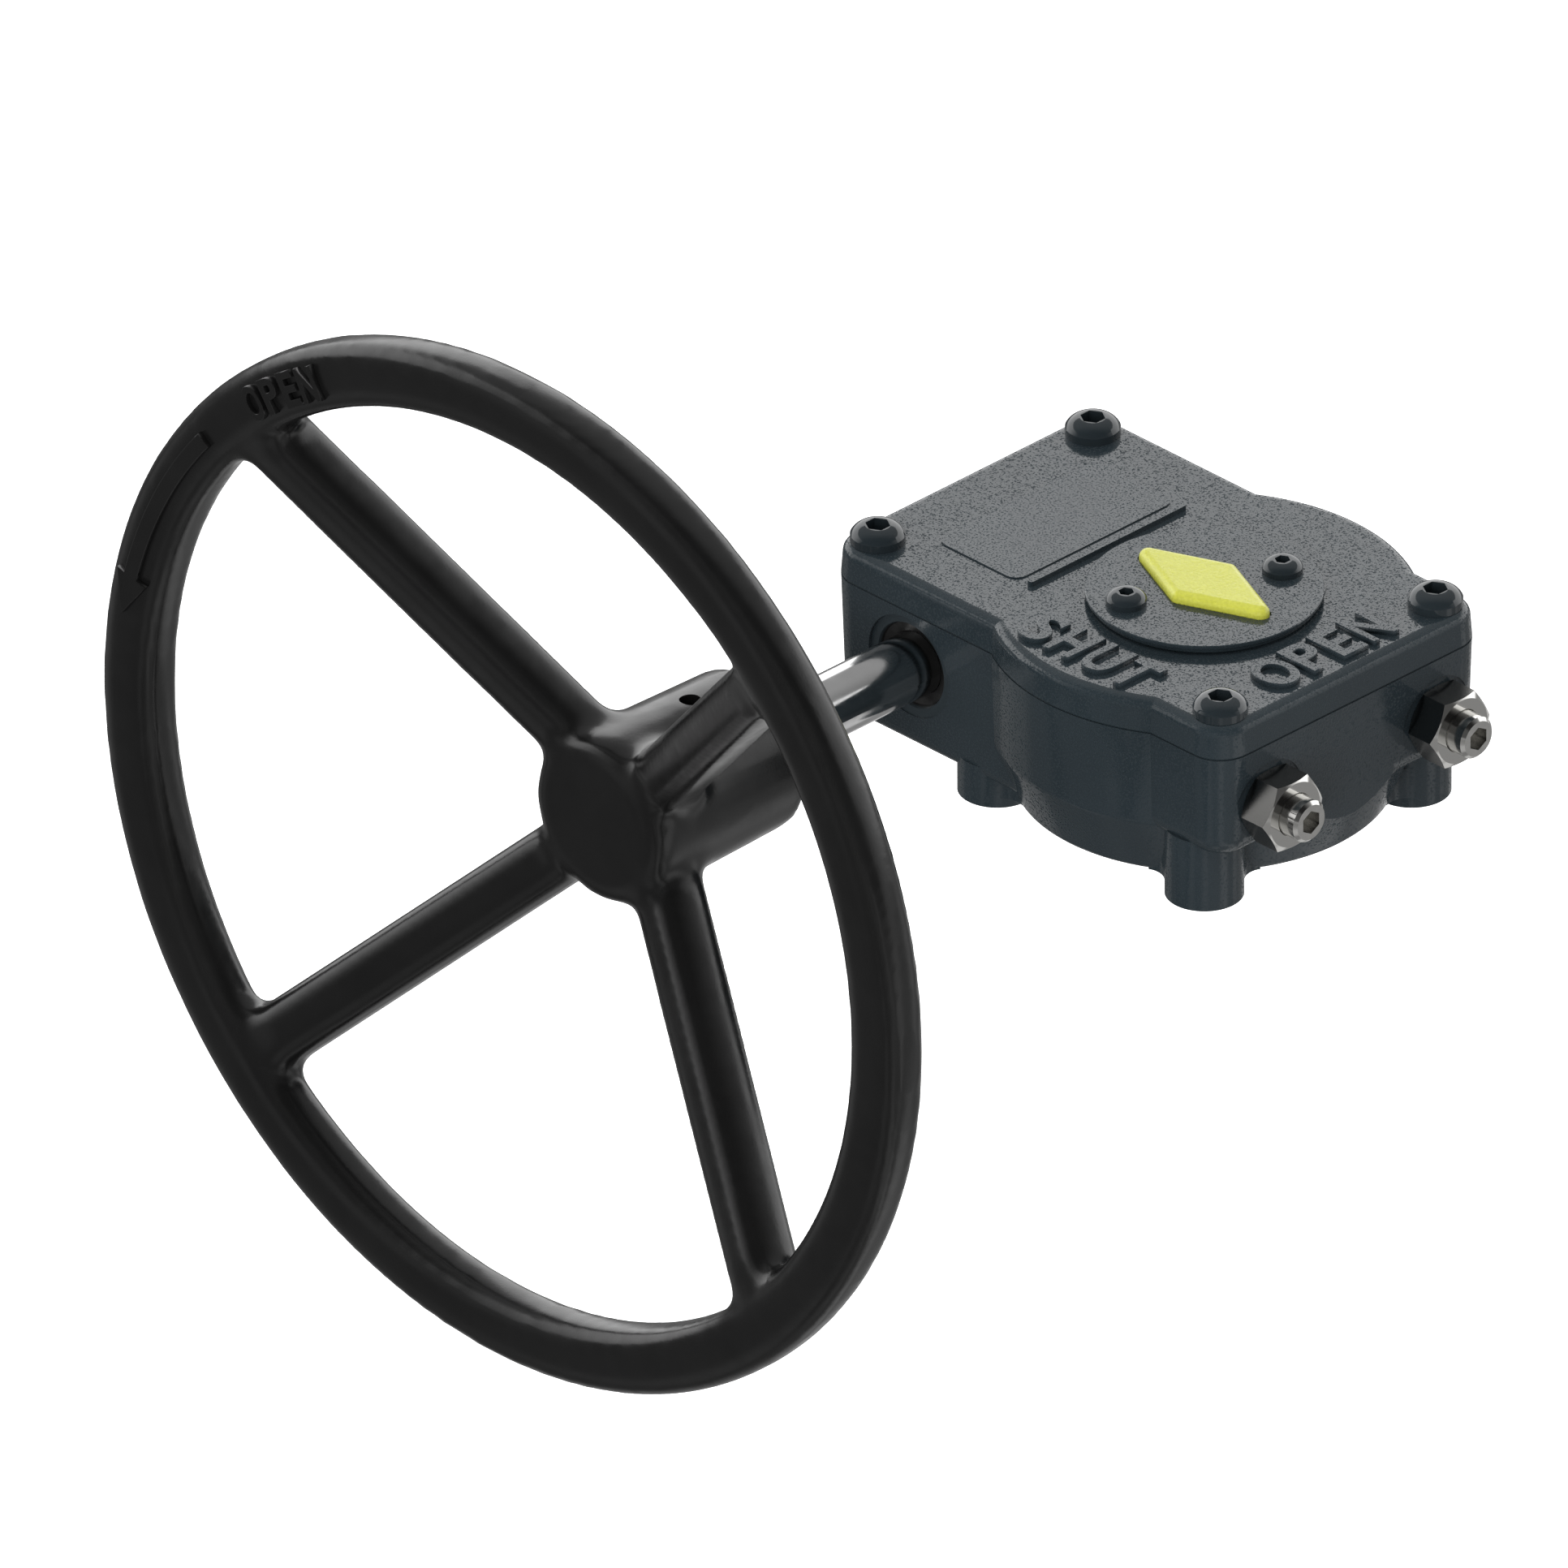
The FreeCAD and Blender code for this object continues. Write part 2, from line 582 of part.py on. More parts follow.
def cover_screws():
    screws = []
    for x, y in SCREW_PLACES:
        seat = point(x, y, COVER_TOP_Z)
        head = (M6_HEAD_R, M6_HEAD_HEIGHT, M6_SOCKET_AF)
        screws.append(button_screw(M6_R, M6_LENGTH, *head, seat))
    return Part.makeCompound(screws)


def dowel_pins():
    pins = []
    for x, y in DOWEL_PLACES:
        low, high = point(x, y, DOWEL_BOTTOM_Z), point(x, y, DOWEL_TOP_Z)
        pins.append(round_bar(DOWEL_R, DOWEL_CHAMFER, low, high))
    return Part.makeCompound(pins)


def flanged_bush(bore, outer, flange_r, z0, z1, flange_z):
    """A bush from z0 to z1 with its flange starting at flange_z."""
    tube = ring(outer, bore, Z * z0, Z * z1)
    flange = ring(flange_r, bore, Z * flange_z, Z * (flange_z + BUSH_FLANGE))
    return fused([tube, flange])


def lower_bush():
    bore = LOWER_JOURNAL_R + RUNNING_GAP
    z0, z1 = FLOOR_UNDERSIDE_Z + SEAL_HEIGHT, FLOOR_TOP_Z + BUSH_FLANGE
    return flanged_bush(bore, LOWER_BUSH_R, HUB_R + BUSH_FLANGE_REACH, z0, z1, FLOOR_TOP_Z)


def upper_bush():
    bore = UPPER_JOURNAL_R + RUNNING_GAP
    z0, z1 = UPPER_FLANGE_Z, UPPER_BUSH_TOP_Z
    return flanged_bush(bore, UPPER_BUSH_R, COVER_BOSS_R, z0, z1, z0)


def seal_ring(journal, outer, z0):
    bore = journal + RUNNING_GAP
    z1 = z0 + SEAL_HEIGHT
    return turned([(bore, z0), (outer, z0), (outer, z1), (bore, z1)], [SEAL_ROUND] * 4)


def base_seal():
    return seal_ring(LOWER_JOURNAL_R, LOWER_BUSH_R, FLOOR_UNDERSIDE_Z)


def indicator_seal():
    return seal_ring(UPPER_JOURNAL_R, UPPER_BUSH_R, UPPER_BUSH_TOP_Z)


def shaft_seal():
    """A lip seal: a flat case ring outside and a hollow cone that leads to the lip."""
    bore = SHAFT_R + RUNNING_GAP
    case_r = SEAL_R - SEAL_CASE
    corners = [(bore, SEAL_DEPTH), (bore, SEAL_LIP_DEPTH)]
    corners += [(case_r - SEAL_CONE_STEP, SEAL_CONE_DEPTH), (case_r, 0)]
    corners += [(SEAL_R, 0), (SEAL_R, SEAL_DEPTH)]
    return turned(corners, [0] * 6, on_shaft(SEAL_FACE_Y), Y)


def shaft_bearing(y0, y1):
    bore = SHAFT_R + RUNNING_GAP
    return ring(BEARING_R, bore, on_shaft(y0), on_shaft(y1), BEARING_CHAMFER)


def thrust_washer(side):
    """A washer between the worm and the chamber wall; side is -1 in front and 1 behind."""
    ends = sorted([side * (CHAMBER_HALF_Y - WASHER_THICK), side * CHAMBER_HALF_Y])
    return ring(WASHER_R, SHAFT_R + RUNNING_GAP, on_shaft(ends[0]), on_shaft(ends[1]))


def rear_plug():
    cup_r = BEARING_R - PLUG_RIM
    floor = PLUG_THICK - PLUG_CUP
    corners = [(0, 0), (BEARING_R, 0), (BEARING_R, PLUG_THICK), (cup_r, PLUG_THICK)]
    corners += [(cup_r - PLUG_SLOPE, floor), (0, floor)]
    return turned(corners, [0] * 6, on_shaft(PLUG_START_Y), Y)


def pin_hole(radius, y, reach):
    """A hole across the shaft, along Z."""
    return upright(radius, (WORM_X, y), WORM_AXIS_Z - reach, WORM_AXIS_Z + reach)


def input_shaft():
    shaft = round_bar(SHAFT_R, SHAFT_CHAMFER, on_shaft(SHAFT_FRONT_Y), on_shaft(SHAFT_REAR_Y))
    reach = SHAFT_R + OVERCUT
    worm_hole = pin_hole(WORM_PIN_R, WORM_PIN_Y, reach)
    return shaft.cut([worm_hole, pin_hole(WHEEL_PIN_R, WHEEL_PIN_Y, reach)])


def worm_thread():
    """One right-hand thread about Z; it is turned over to a left-hand one with the worm."""
    slope = math.tan(math.radians(PRESSURE_DEG))
    thick = PITCH / 2 - BACKLASH / 2
    tip = thick / 2 - MODULE * slope
    sunk = WORM_ROOT_R - WORM_THREAD_ROOT
    root = thick / 2 + (WORM_PITCH_R - sunk) * slope
    start = -THREAD_LENGTH / 2
    helix = Part.makeHelix(PITCH, THREAD_LENGTH, WORM_PITCH_R)
    helix.translate(Z * start)
    section = [(sunk, -root), (WORM_TIP_R, -tip), (WORM_TIP_R, tip), (sunk, root)]
    profile = Part.makePolygon([point(a, 0, start + b) for a, b in section + section[:1]])
    thread = Part.Wire(helix.Edges).makePipeShell([profile], True, True)
    if thread.Volume < 0:
        thread.reverse()
    return thread


def worm():
    core = round_bar(WORM_ROOT_R, WORM_CHAMFER, Z * -WORM_HUB_END, Z * WORM_HUB_END)
    body = core.fuse(worm_thread())
    body = body.mirror(ORIGIN, Y)
    body.rotate(ORIGIN, X, -90)
    body.translate(on_shaft(0))
    reach = WORM_HUB_END + OVERCUT
    bore = cylinder(SHAFT_R, on_shaft(-reach), on_shaft(reach))
    return body.cut([bore, pin_hole(WORM_PIN_R, WORM_PIN_Y, WORM_ROOT_R + OVERCUT)])


def worm_pin():
    reach = WORM_ROOT_R - WORM_PIN_SINK
    low = point(WORM_X, WORM_PIN_Y, WORM_AXIS_Z - reach)
    high = point(WORM_X, WORM_PIN_Y, WORM_AXIS_Z + reach)
    return round_bar(WORM_PIN_R, PIN_CHAMFER, low, high)


def involute(angle):
    return math.tan(angle) - angle


def tooth_gap(middle_deg):
    """The space between two teeth, twisted along the face to follow the worm's lead."""
    pressure = math.radians(PRESSURE_DEG)
    base_r = PITCH_R * math.cos(pressure)
    quarter = math.pi / (2 * GEAR_TEETH) + BACKLASH / (4 * PITCH_R)
    lead = math.atan(MODULE / (2 * WORM_PITCH_R))
    half_twist = (GEAR_FACE / 2 + OVERCUT) * math.tan(lead) / PITCH_R
    first_r = base_r + FLANK_START
    rise = GEAR_TIP_R + OVERCUT - base_r
    radii = [GEAR_ROOT_R] + [first_r + rise * i / FLANK_STEPS for i in range(FLANK_STEPS + 1)]
    halves = []
    for r in radii:
        at = math.acos(min(1.0, base_r / r))
        halves.append(quarter - involute(pressure) + involute(at))
    wires = []
    for z, twist in ((GEAR_BOTTOM_Z - OVERCUT, half_twist), (GEAR_TOP_Z + OVERCUT, -half_twist)):
        centre = math.radians(middle_deg) + twist
        sides = []
        for s in (1, -1):
            turns = [centre + s * h for h in halves]
            sides.append([point(r * math.cos(a), r * math.sin(a), z) for r, a in zip(radii, turns)])
        outline = sides[0] + sides[1][::-1]
        wires.append(Part.makePolygon(outline + outline[:1]))
    return Part.makeLoft(wires, True, True)


def key_slot():
    half = KEY_WIDTH / 2
    z0, z1 = HUB_BOTTOM_Z - OVERCUT, HUB_BOTTOM_Z + KEY_LENGTH
    return box(0, STEM_R + KEY_DEPTH, -half, half, z0, z1)


def indicator_screw_places():
    return [polar(INDICATOR_SCREW_R, INDICATOR_SCREW_DEG + turn) for turn in (0, 180)]


def worm_quadrant():
    """The hub with its journals, and a toothed sector whose two end faces meet the stop screws."""
    c = JOURNAL_CHAMFER
    corners = [(0, HUB_BOTTOM_Z), (LOWER_JOURNAL_R - c, HUB_BOTTOM_Z)]
    corners += [(LOWER_JOURNAL_R, HUB_BOTTOM_Z + c), (LOWER_JOURNAL_R, HUB_SHOULDER_Z)]
    corners += [(HUB_R, HUB_SHOULDER_Z), (HUB_R, UPPER_FLANGE_Z)]
    corners += [(UPPER_JOURNAL_R, UPPER_FLANGE_Z), (UPPER_JOURNAL_R, CAP_BOTTOM_Z)]
    corners += [(0, CAP_BOTTOM_Z)]
    hub = turned(corners, [0] * len(corners))
    disc = upright(GEAR_TIP_R, (0, 0), GEAR_BOTTOM_Z, GEAR_TOP_Z)
    far = GEAR_TIP_R + OVERCUT
    sector = disc.common(box(-far, STOP_FACE, -far, STOP_FACE, GEAR_BOTTOM_Z, GEAR_TOP_Z))
    step = 360.0 / GEAR_TEETH
    first = 180.0 + step / 2
    before = math.ceil(MESH_MARGIN_DEG / step)
    after = math.ceil((90.0 + MESH_MARGIN_DEG) / step)
    sector = sector.cut([tooth_gap(first + step * i) for i in range(-before, after)])
    body = fused([hub, sector])
    bottom = CAP_TOP_Z - M4_LENGTH - OVERCUT
    cuts = [upright(STEM_R, (0, 0), 0, STEM_TOP_Z), key_slot()]
    cuts += [upright(M4_R, place, bottom, CAP_TOP_Z) for place in indicator_screw_places()]
    return body.cut(cuts)


def pointer_outline(grow, z):
    """The diamond, moved out by grow on every side."""
    side = math.hypot(POINTER_HALF_LENGTH, POINTER_HALF_WIDTH)
    a = POINTER_HALF_LENGTH + grow * side / POINTER_HALF_WIDTH
    b = POINTER_HALF_WIDTH + grow * side / POINTER_HALF_LENGTH
    corners = [(a, 0), (0, b), (-a, 0), (0, -b)]
    return rounded_wire(corners, [POINTER_CORNER_R + grow] * 4, frame(Z * z, X, Y))


def pegs(z0, z1):
    return [upright(PEG_R, (s * PEG_X, 0), z0, z1) for s in (-1, 1)]


def indicator_cap():
    flange_z = CAP_TOP_Z - CAP_FLANGE
    step = upright(CAP_STEP_R, (0, 0), CAP_BOTTOM_Z, CAP_TOP_Z)
    body = fused([step, round_bar(CAP_R, CAP_CHAMFER, Z * flange_z, Z * CAP_TOP_Z)])
    low, high = CAP_BOTTOM_Z - OVERCUT, CAP_TOP_Z + OVERCUT
    cuts = [Part.Face(pointer_outline(POINTER_GAP, CAP_TOP_Z - POINTER_SEAT)).extrude(Z * OVERCUT)]
    cuts += pegs(low, high)
    clear = M4_R + M4_CLEARANCE
    cuts += [upright(clear, place, low, high) for place in indicator_screw_places()]
    return body.cut(cuts)


def indicator_pointer():
    low = CAP_TOP_Z - POINTER_SEAT
    top = CAP_TOP_Z + POINTER_HEIGHT
    body = Part.Face(pointer_outline(0.0, low)).extrude(Z * (top - low))
    body = body.makeFillet(POINTER_EDGE_R, edges_at(body, top))
    return fused([body] + pegs(CAP_BOTTOM_Z, CAP_TOP_Z))


def indicator_screws():
    screws = []
    for x, y in indicator_screw_places():
        seat = point(x, y, CAP_TOP_Z)
        head = (M4_HEAD_R, M4_HEAD_HEIGHT, M4_SOCKET_AF)
        screws.append(button_screw(M4_R, M4_LENGTH, *head, seat))
    return Part.makeCompound(screws)


def stop_screw(side):
    """A set screw in the +X wall; side is -1 at the shaft's end of the wall and 1 at the far end."""
    tip = point(STOP_TIP_X, side * STOP_Y, STOP_Z)
    end = point(STOP_END_X, side * STOP_Y, STOP_Z)
    bar = round_bar(STOP_R, STOP_CHAMFER, tip, end)
    return bar.cut(hexagon(STOP_SOCKET_AF, end - X * STOP_SOCKET_DEPTH, end + X * OVERCUT, Z))


def lock_nut(start):
    """A hexagon nut along +X with chamfered corners and a countersunk bore."""
    body = hexagon(NUT_AF, start, start + X * NUT_THICK, Y)
    wide = NUT_AF / math.sqrt(3) + OVERCUT
    flat_r = NUT_FLAT_SHARE * NUT_AF / 2
    drop = (wide - flat_r) * math.tan(math.radians(NUT_CHAMFER_DEG))
    corners = [(0, 0), (flat_r, 0), (wide, drop), (wide, NUT_THICK - drop)]
    corners += [(flat_r, NUT_THICK), (0, NUT_THICK)]
    crown = turned(corners, [0] * 6, start, X)
    bore_r = STOP_R + RUNNING_GAP
    mouth_r = bore_r + NUT_LEAD + OVERCUT
    corners = [(0, -OVERCUT), (mouth_r, -OVERCUT), (bore_r, NUT_LEAD)]
    corners += [(bore_r, NUT_THICK - NUT_LEAD), (mouth_r, NUT_THICK + OVERCUT)]
    corners += [(0, NUT_THICK + OVERCUT)]
    return body.common(crown).cut(turned(corners, [0] * 6, start, X))


def stop_lock_nuts():
    places = [point(STOP_SEAT_X, side * STOP_Y, STOP_Z) for side in (-1, 1)]
    return Part.makeCompound([lock_nut(place) for place in places])


def spoke(angle):
    """A dished spoke: one section, slid towards -Y as it goes out to the rim."""
    a = math.radians(angle)
    outward = point(math.cos(a), 0, math.sin(a))
    sideways = point(-math.sin(a), 0, math.cos(a))
    half = SPOKE_WIDTH / 2
    corners = [(-half, 0), (half, 0), (half, SPOKE_DEPTH), (-half, SPOKE_DEPTH)]
    radii = [SPOKE_FRONT_ROUND, SPOKE_FRONT_ROUND, SPOKE_REAR_ROUND, SPOKE_REAR_ROUND]
    wires = []
    for reach in (SPOKE_START, RIM_INNER_R + SPOKE_RIM_LAP):
        front_y = SPOKE_AT_RIM_Y + SPOKE_SLOPE * (RIM_INNER_R - reach)
        start = on_shaft(front_y) + outward * reach
        wires.append(rounded_wire(corners, radii, frame(start, sideways, Y)))
    return Part.makeLoft(wires, True, True)


def handwheel():
    corners = [(RIM_INNER_R, 0), (WHEEL_R, 0), (WHEEL_R, RIM_DEPTH), (RIM_INNER_R, RIM_DEPTH)]
    rim = turned(corners, [RIM_ROUND] * 4, on_shaft(RIM_FRONT_Y), Y)
    length = WHEEL_HUB_LENGTH
    corners = [(0, 0), (WHEEL_HUB_FRONT_R, 0), (WHEEL_HUB_REAR_R, length), (0, length)]
    rounds = [0, WHEEL_HUB_ROUND, WHEEL_HUB_REAR_ROUND, 0]
    hub = turned(corners, rounds, on_shaft(HUB_FRONT_Y), Y)
    body = fused([rim, hub] + [spoke(a) for a in SPOKE_ANGLES])
    bore = cylinder(SHAFT_R, on_shaft(SHAFT_FRONT_Y), on_shaft(HUB_REAR_Y + OVERCUT))
    return body.cut([bore, pin_hole(WHEEL_PIN_R, WHEEL_PIN_Y, WHEEL_HUB_FRONT_R + OVERCUT)])


def handwheel_pin():
    """A spring pin, rolled from strip, so it has a slot along one side."""
    low = point(WORM_X, WHEEL_PIN_Y, WORM_AXIS_Z - WHEEL_PIN_REACH)
    high = point(WORM_X, WHEEL_PIN_Y, WORM_AXIS_Z + WHEEL_PIN_REACH)
    tube = ring(WHEEL_PIN_R, WHEEL_PIN_BORE_R, low, high, PIN_CHAMFER)
    x1 = WORM_X + WHEEL_PIN_R + OVERCUT
    y0, y1 = WHEEL_PIN_Y - WHEEL_PIN_SLOT / 2, WHEEL_PIN_Y + WHEEL_PIN_SLOT / 2
    return tube.cut(box(WORM_X, x1, y0, y1, low.z - OVERCUT, high.z + OVERCUT))


NODES = {
    "housing": housing,
    "cover": cover,
    "cover_gasket": cover_gasket,
    "nameplate": nameplate,
    "cover_screws": cover_screws,
    "dowel_pins": dowel_pins,
    "lower_bush": lower_bush,
    "upper_bush": upper_bush,
    "base_seal": base_seal,
    "indicator_seal": indicator_seal,
    "shaft_seal": shaft_seal,
    "front_bearing": lambda: shaft_bearing(SEAL_END_Y, -CHAMBER_HALF_Y),
    "rear_bearing": lambda: shaft_bearing(CHAMBER_HALF_Y, PLUG_START_Y),
    "front_thrust_washer": lambda: thrust_washer(-1),
    "rear_thrust_washer": lambda: thrust_washer(1),
    "rear_plug": rear_plug,
    "stop_lock_nuts": stop_lock_nuts,
    "open_stop_screw": lambda: stop_screw(-1),
    "shut_stop_screw": lambda: stop_screw(1),
    "input_shaft": input_shaft,
    "worm": worm,
    "worm_pin": worm_pin,
    "handwheel": handwheel,
    "handwheel_pin": handwheel_pin,
    "worm_quadrant": worm_quadrant,
    "indicator_cap": indicator_cap,
    "indicator_pointer": indicator_pointer,
    "indicator_screws": indicator_screws,
}


def main():
    os.makedirs("parts", exist_ok=True)
    for name, make in NODES.items():
        shape = make()
        shape.exportStep("parts/" + name + ".step")
        count = len(shape.Solids)
        print(name, count, "solids", shape.isValid(), "volume %.1f" % shape.Volume)


main()
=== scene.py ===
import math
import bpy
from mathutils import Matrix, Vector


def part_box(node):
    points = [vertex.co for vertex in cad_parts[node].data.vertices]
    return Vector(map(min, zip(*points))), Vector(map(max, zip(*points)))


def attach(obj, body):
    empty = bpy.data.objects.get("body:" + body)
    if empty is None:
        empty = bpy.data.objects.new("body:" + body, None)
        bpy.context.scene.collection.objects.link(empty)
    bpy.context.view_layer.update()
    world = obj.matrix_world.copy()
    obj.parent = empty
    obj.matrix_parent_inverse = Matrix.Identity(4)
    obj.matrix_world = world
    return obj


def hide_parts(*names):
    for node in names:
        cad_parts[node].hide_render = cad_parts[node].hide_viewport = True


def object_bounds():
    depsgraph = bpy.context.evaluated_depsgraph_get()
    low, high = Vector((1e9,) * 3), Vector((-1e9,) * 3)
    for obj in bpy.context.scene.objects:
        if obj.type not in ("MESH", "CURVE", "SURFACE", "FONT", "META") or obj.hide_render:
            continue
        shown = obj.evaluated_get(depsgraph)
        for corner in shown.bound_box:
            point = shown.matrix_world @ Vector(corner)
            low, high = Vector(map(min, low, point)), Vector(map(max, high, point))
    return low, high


bl_info = {
    "name": "Valve gear operator",
    "version": (1, 0, 0),
    "blender": (4, 5, 0),
    "location": "View3D > Sidebar > Valve gear",
    "description": "Dresses the quarter turn valve gear operator and sets up its studio",
    "category": "Object",
}

import bpy
import numpy as np
from bpy.props import FloatProperty, FloatVectorProperty, IntProperty, PointerProperty, StringProperty
from bpy.types import Operator, Panel, PropertyGroup
from mathutils import Matrix, Vector

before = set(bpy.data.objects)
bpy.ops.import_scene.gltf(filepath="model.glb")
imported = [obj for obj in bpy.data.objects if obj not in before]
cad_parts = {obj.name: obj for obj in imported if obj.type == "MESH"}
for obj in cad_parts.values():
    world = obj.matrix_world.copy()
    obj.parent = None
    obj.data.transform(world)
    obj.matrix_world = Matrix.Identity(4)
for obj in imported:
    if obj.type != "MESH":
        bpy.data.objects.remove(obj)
CAD_LOW, CAD_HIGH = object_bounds()

MM = 0.001

# The wheel and the shaft turn about an axis along Y.
WHEEL_LOW, WHEEL_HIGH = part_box("handwheel")
WHEEL_AXIS = (WHEEL_LOW + WHEEL_HIGH) / 2
WHEEL_FRONT = WHEEL_LOW.y
WHEEL_RADIUS = (WHEEL_HIGH.z - WHEEL_LOW.z) / 2
SHAFT_LOW, SHAFT_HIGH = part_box("input_shaft")
SHAFT_AXIS = (SHAFT_LOW + SHAFT_HIGH) / 2
SHAFT_RADIUS = (SHAFT_HIGH.x - SHAFT_LOW.x) / 2
PIN_LOW, PIN_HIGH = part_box("handwheel_pin")
PIN_RADIUS = (PIN_HIGH.y - PIN_LOW.y) / 2
PIN_MIDDLE = (PIN_LOW + PIN_HIGH) / 2

# The level that the cover's words stand on. The cover's box ends higher, at its rear bar's edge.
COVER_TOP = 39.35 * MM

# Fractal noise keeps within about the first of these parts of its range from 0 to 1, and most of
# it within the second.
NOISE_SPAN = {"From Min": 0.3, "From Max": 0.7}
NOISE_MIDDLE = {"From Min": 0.35, "From Max": 0.65}

# How far the handwheel's pin ends under the hub's surface.
PIN_DEPTH = 3.6 * MM
# How much wider than the hole the plugs are that close it while the wheel is remeshed.
PLUG_MARGIN = 0.3 * MM
# How many sides the hole and its plugs have, and the angle from which an edge stays crisp.
HOLE_SIDES = 48
CRISP_EDGE = math.radians(50)
# Corners of the CAD triangles that lie closer than this are one.
SAME_PLACE = 0.001 * MM

# Where the wheel's fillets lie. Each zone grows from its first value to its second, but for the
# hub's outer one, which fades. The hub's and the rim's are radii from the wheel's axis, and the
# front's is measured from the middle of the gearbox.
FRONT_ZONE = (94 * MM, 98 * MM)
HUB_ZONE_IN = (12 * MM, 14.5 * MM)
HUB_ZONE_OUT = (30 * MM, 36 * MM)
RIM_ZONE = (70 * MM, 77 * MM)
RIM_SHARE = 0.8
# How far from a spoke the rim's fillets reach, as the cosine of twice the angle from the upright.
SPOKE_ZONE = (0.34, 0.42)
# A corner counts as filled where its points lie less than this under their neighbours.
FILLED = 0.01 * MM
# How much of the way to its neighbours a point goes in one pass, outwards and along the surface.
OUT_SHARE = 0.8
ALONG_SHARE = 0.3

# The rim's front is set back from the first of these radii on, wholly from the second, and less
# the deeper a point lies behind the front, down to nothing at this depth.
SET_BACK_ZONE = (78 * MM, 86 * MM)
SET_BACK_DEPTH = 5 * MM

# Refractive indices of baked polyester or alkyd paint, and of nylon.
PAINT_IOR = 1.5
NYLON_IOR = 1.53

# Width of the powder coat's matt specks, and the part of the noise that makes one.
SPECK = 0.4 * MM
SPECK_SPAN = {"From Min": 0.54, "From Max": 0.61}

# How far along the bar a nut's face looks: a drawn flat below the first, a turned end from the second.
# The flats get a rougher sheen and a painted shade, their colour darkened in place of the dimmer light
# on them.
NUT_END_SHADE_AND_SHEEN = {"From Min": 0.2, "From Max": 0.7}

# The seal's rubber lip ends at this radius from the shaft's axis, and its painted case begins.
SEAL_LIP = {"From Min": 8.0 * MM, "From Max": 8.2 * MM}


def linear(hex_colour):
    """An sRGB hex colour as linear red, green and blue."""
    parts = [int(hex_colour[i : i + 2], 16) / 255 for i in (1, 3, 5)]
    return tuple(p / 12.92 if p <= 0.04045 else ((p + 0.055) / 1.055) ** 2.4 for p in parts)


def colour_value(name, description, hex_colour):
    """A colour that the user can change."""
    return FloatVectorProperty(
        name=name,
        description=description,
        subtype="COLOR",
        size=3,
        min=0,
        max=1,
        default=linear(hex_colour),
    )


def length_value(name, description, millimetres):
    """A length that the user can change."""
    return FloatProperty(
        name=name,
        description=description,
        default=millimetres * MM,
        min=0,
        precision=5,
        unit="LENGTH",
    )


class CastingSettings(PropertyGroup):
    paint: colour_value("Powder coat", "Colour of the gearbox castings", "#2d363b")
    # The screws carry the castings' paint, set darker as painted shade for their heads and sockets.
    screw_paint: colour_value("Screw paint", "Colour of the painted screws", "#272e32")
    peel: length_value("Orange peel", "Width of one grain of the powder coat", 0.4)
    peel_height: length_value("Peel height", "Height of one grain of the powder coat", 0.008)
    plate: colour_value("Nameplate", "Colour of the blank nameplate", "#30393e")


class WheelSettings(PropertyGroup):
    paint: colour_value("Wheel paint", "Colour of the handwheel's black paint", "#131313")
    voxel: length_value("Casting grain", "Size of the cubes that the casting is remeshed with", 0.85)
    fillet_passes: IntProperty(
        name="Fillet passes",
        description="How often the casting's inner corners are filled in each round",
        default=140,
        min=0,
        max=500,
    )
    fillet_rounds: IntProperty(
        name="Fillet rounds",
        description="How often the casting is remeshed between its fillet passes",
        default=4,
        min=1,
        max=8,
    )
    set_back: length_value("Rim set back", "How far the rim's front lies behind its raised word", 1.0)


class LetteringSettings(PropertyGroup):
    open_word: StringProperty(name="Open word", description="Word for the open position", default="OPEN")
    shut_word: StringProperty(name="Shut word", description="Word for the shut position", default="SHUT")
    height: length_value("Letter height", "Height of the letters on the cover", 9.8)
    rim_height: length_value("Rim letter height", "Height of the letters on the wheel's rim", 6.8)
    raised: length_value("Raised by", "How far the letters stand out of the cover", 1.0)


class FittingSettings(PropertyGroup):
    pointer: colour_value("Pointer", "Colour of the moulded indicator pointer", "#d6d855")
    stainless: colour_value("Stainless steel", "Colour of the stop screws and their nuts", "#cfcecb")
    steel: colour_value("Shaft steel", "Colour of the ground input shaft", "#c9c9c9")
    gear_steel: colour_value("Gear steel", "Colour of the worm, pins and dowels", "#9c9a96")
    bronze: colour_value("Bronze", "Colour of the bushes and washers", "#b98a4e")
    iron: colour_value("Cast iron", "Colour of the worm quadrant", "#5b5a58")
    rubber: colour_value("Rubber", "Colour of the seals", "#161616")


class StageSettings(PropertyGroup):
    azimuth: FloatProperty(
        name="Camera azimuth",
        description="Direction that the camera stands in, from the front to the right",
        default=math.radians(45),
        subtype="ANGLE",
    )
    elevation: FloatProperty(
        name="Camera elevation",
        description="Height of the camera above the horizon",
        default=math.radians(30),
        subtype="ANGLE",
    )
    width: length_value("View width", "Width of the view across the picture", 278.4)
    backdrop: colour_value("Backdrop", "Colour of the floor and backdrop", "#ffffff")


def add_node(tree, kind, settings=None, inputs=None):
    """Adds a shader node, sets its own settings, and fills or links its inputs."""
    made = tree.nodes.new(kind)
    for name, value in (settings or {}).items():
        setattr(made, name, value)
    for name, value in (inputs or {}).items():
        if isinstance(value, bpy.types.NodeSocket):
            tree.links.new(value, made.inputs[name])
        elif isinstance(value, tuple) and made.inputs[name].type == "RGBA":
            made.inputs[name].default_value = (*value, 1)
        else:
            made.inputs[name].default_value = value
    return made


def shaded(colour, factor):
    """The colour made darker or lighter."""
    return tuple(min(1.0, channel * factor) for channel in colour)


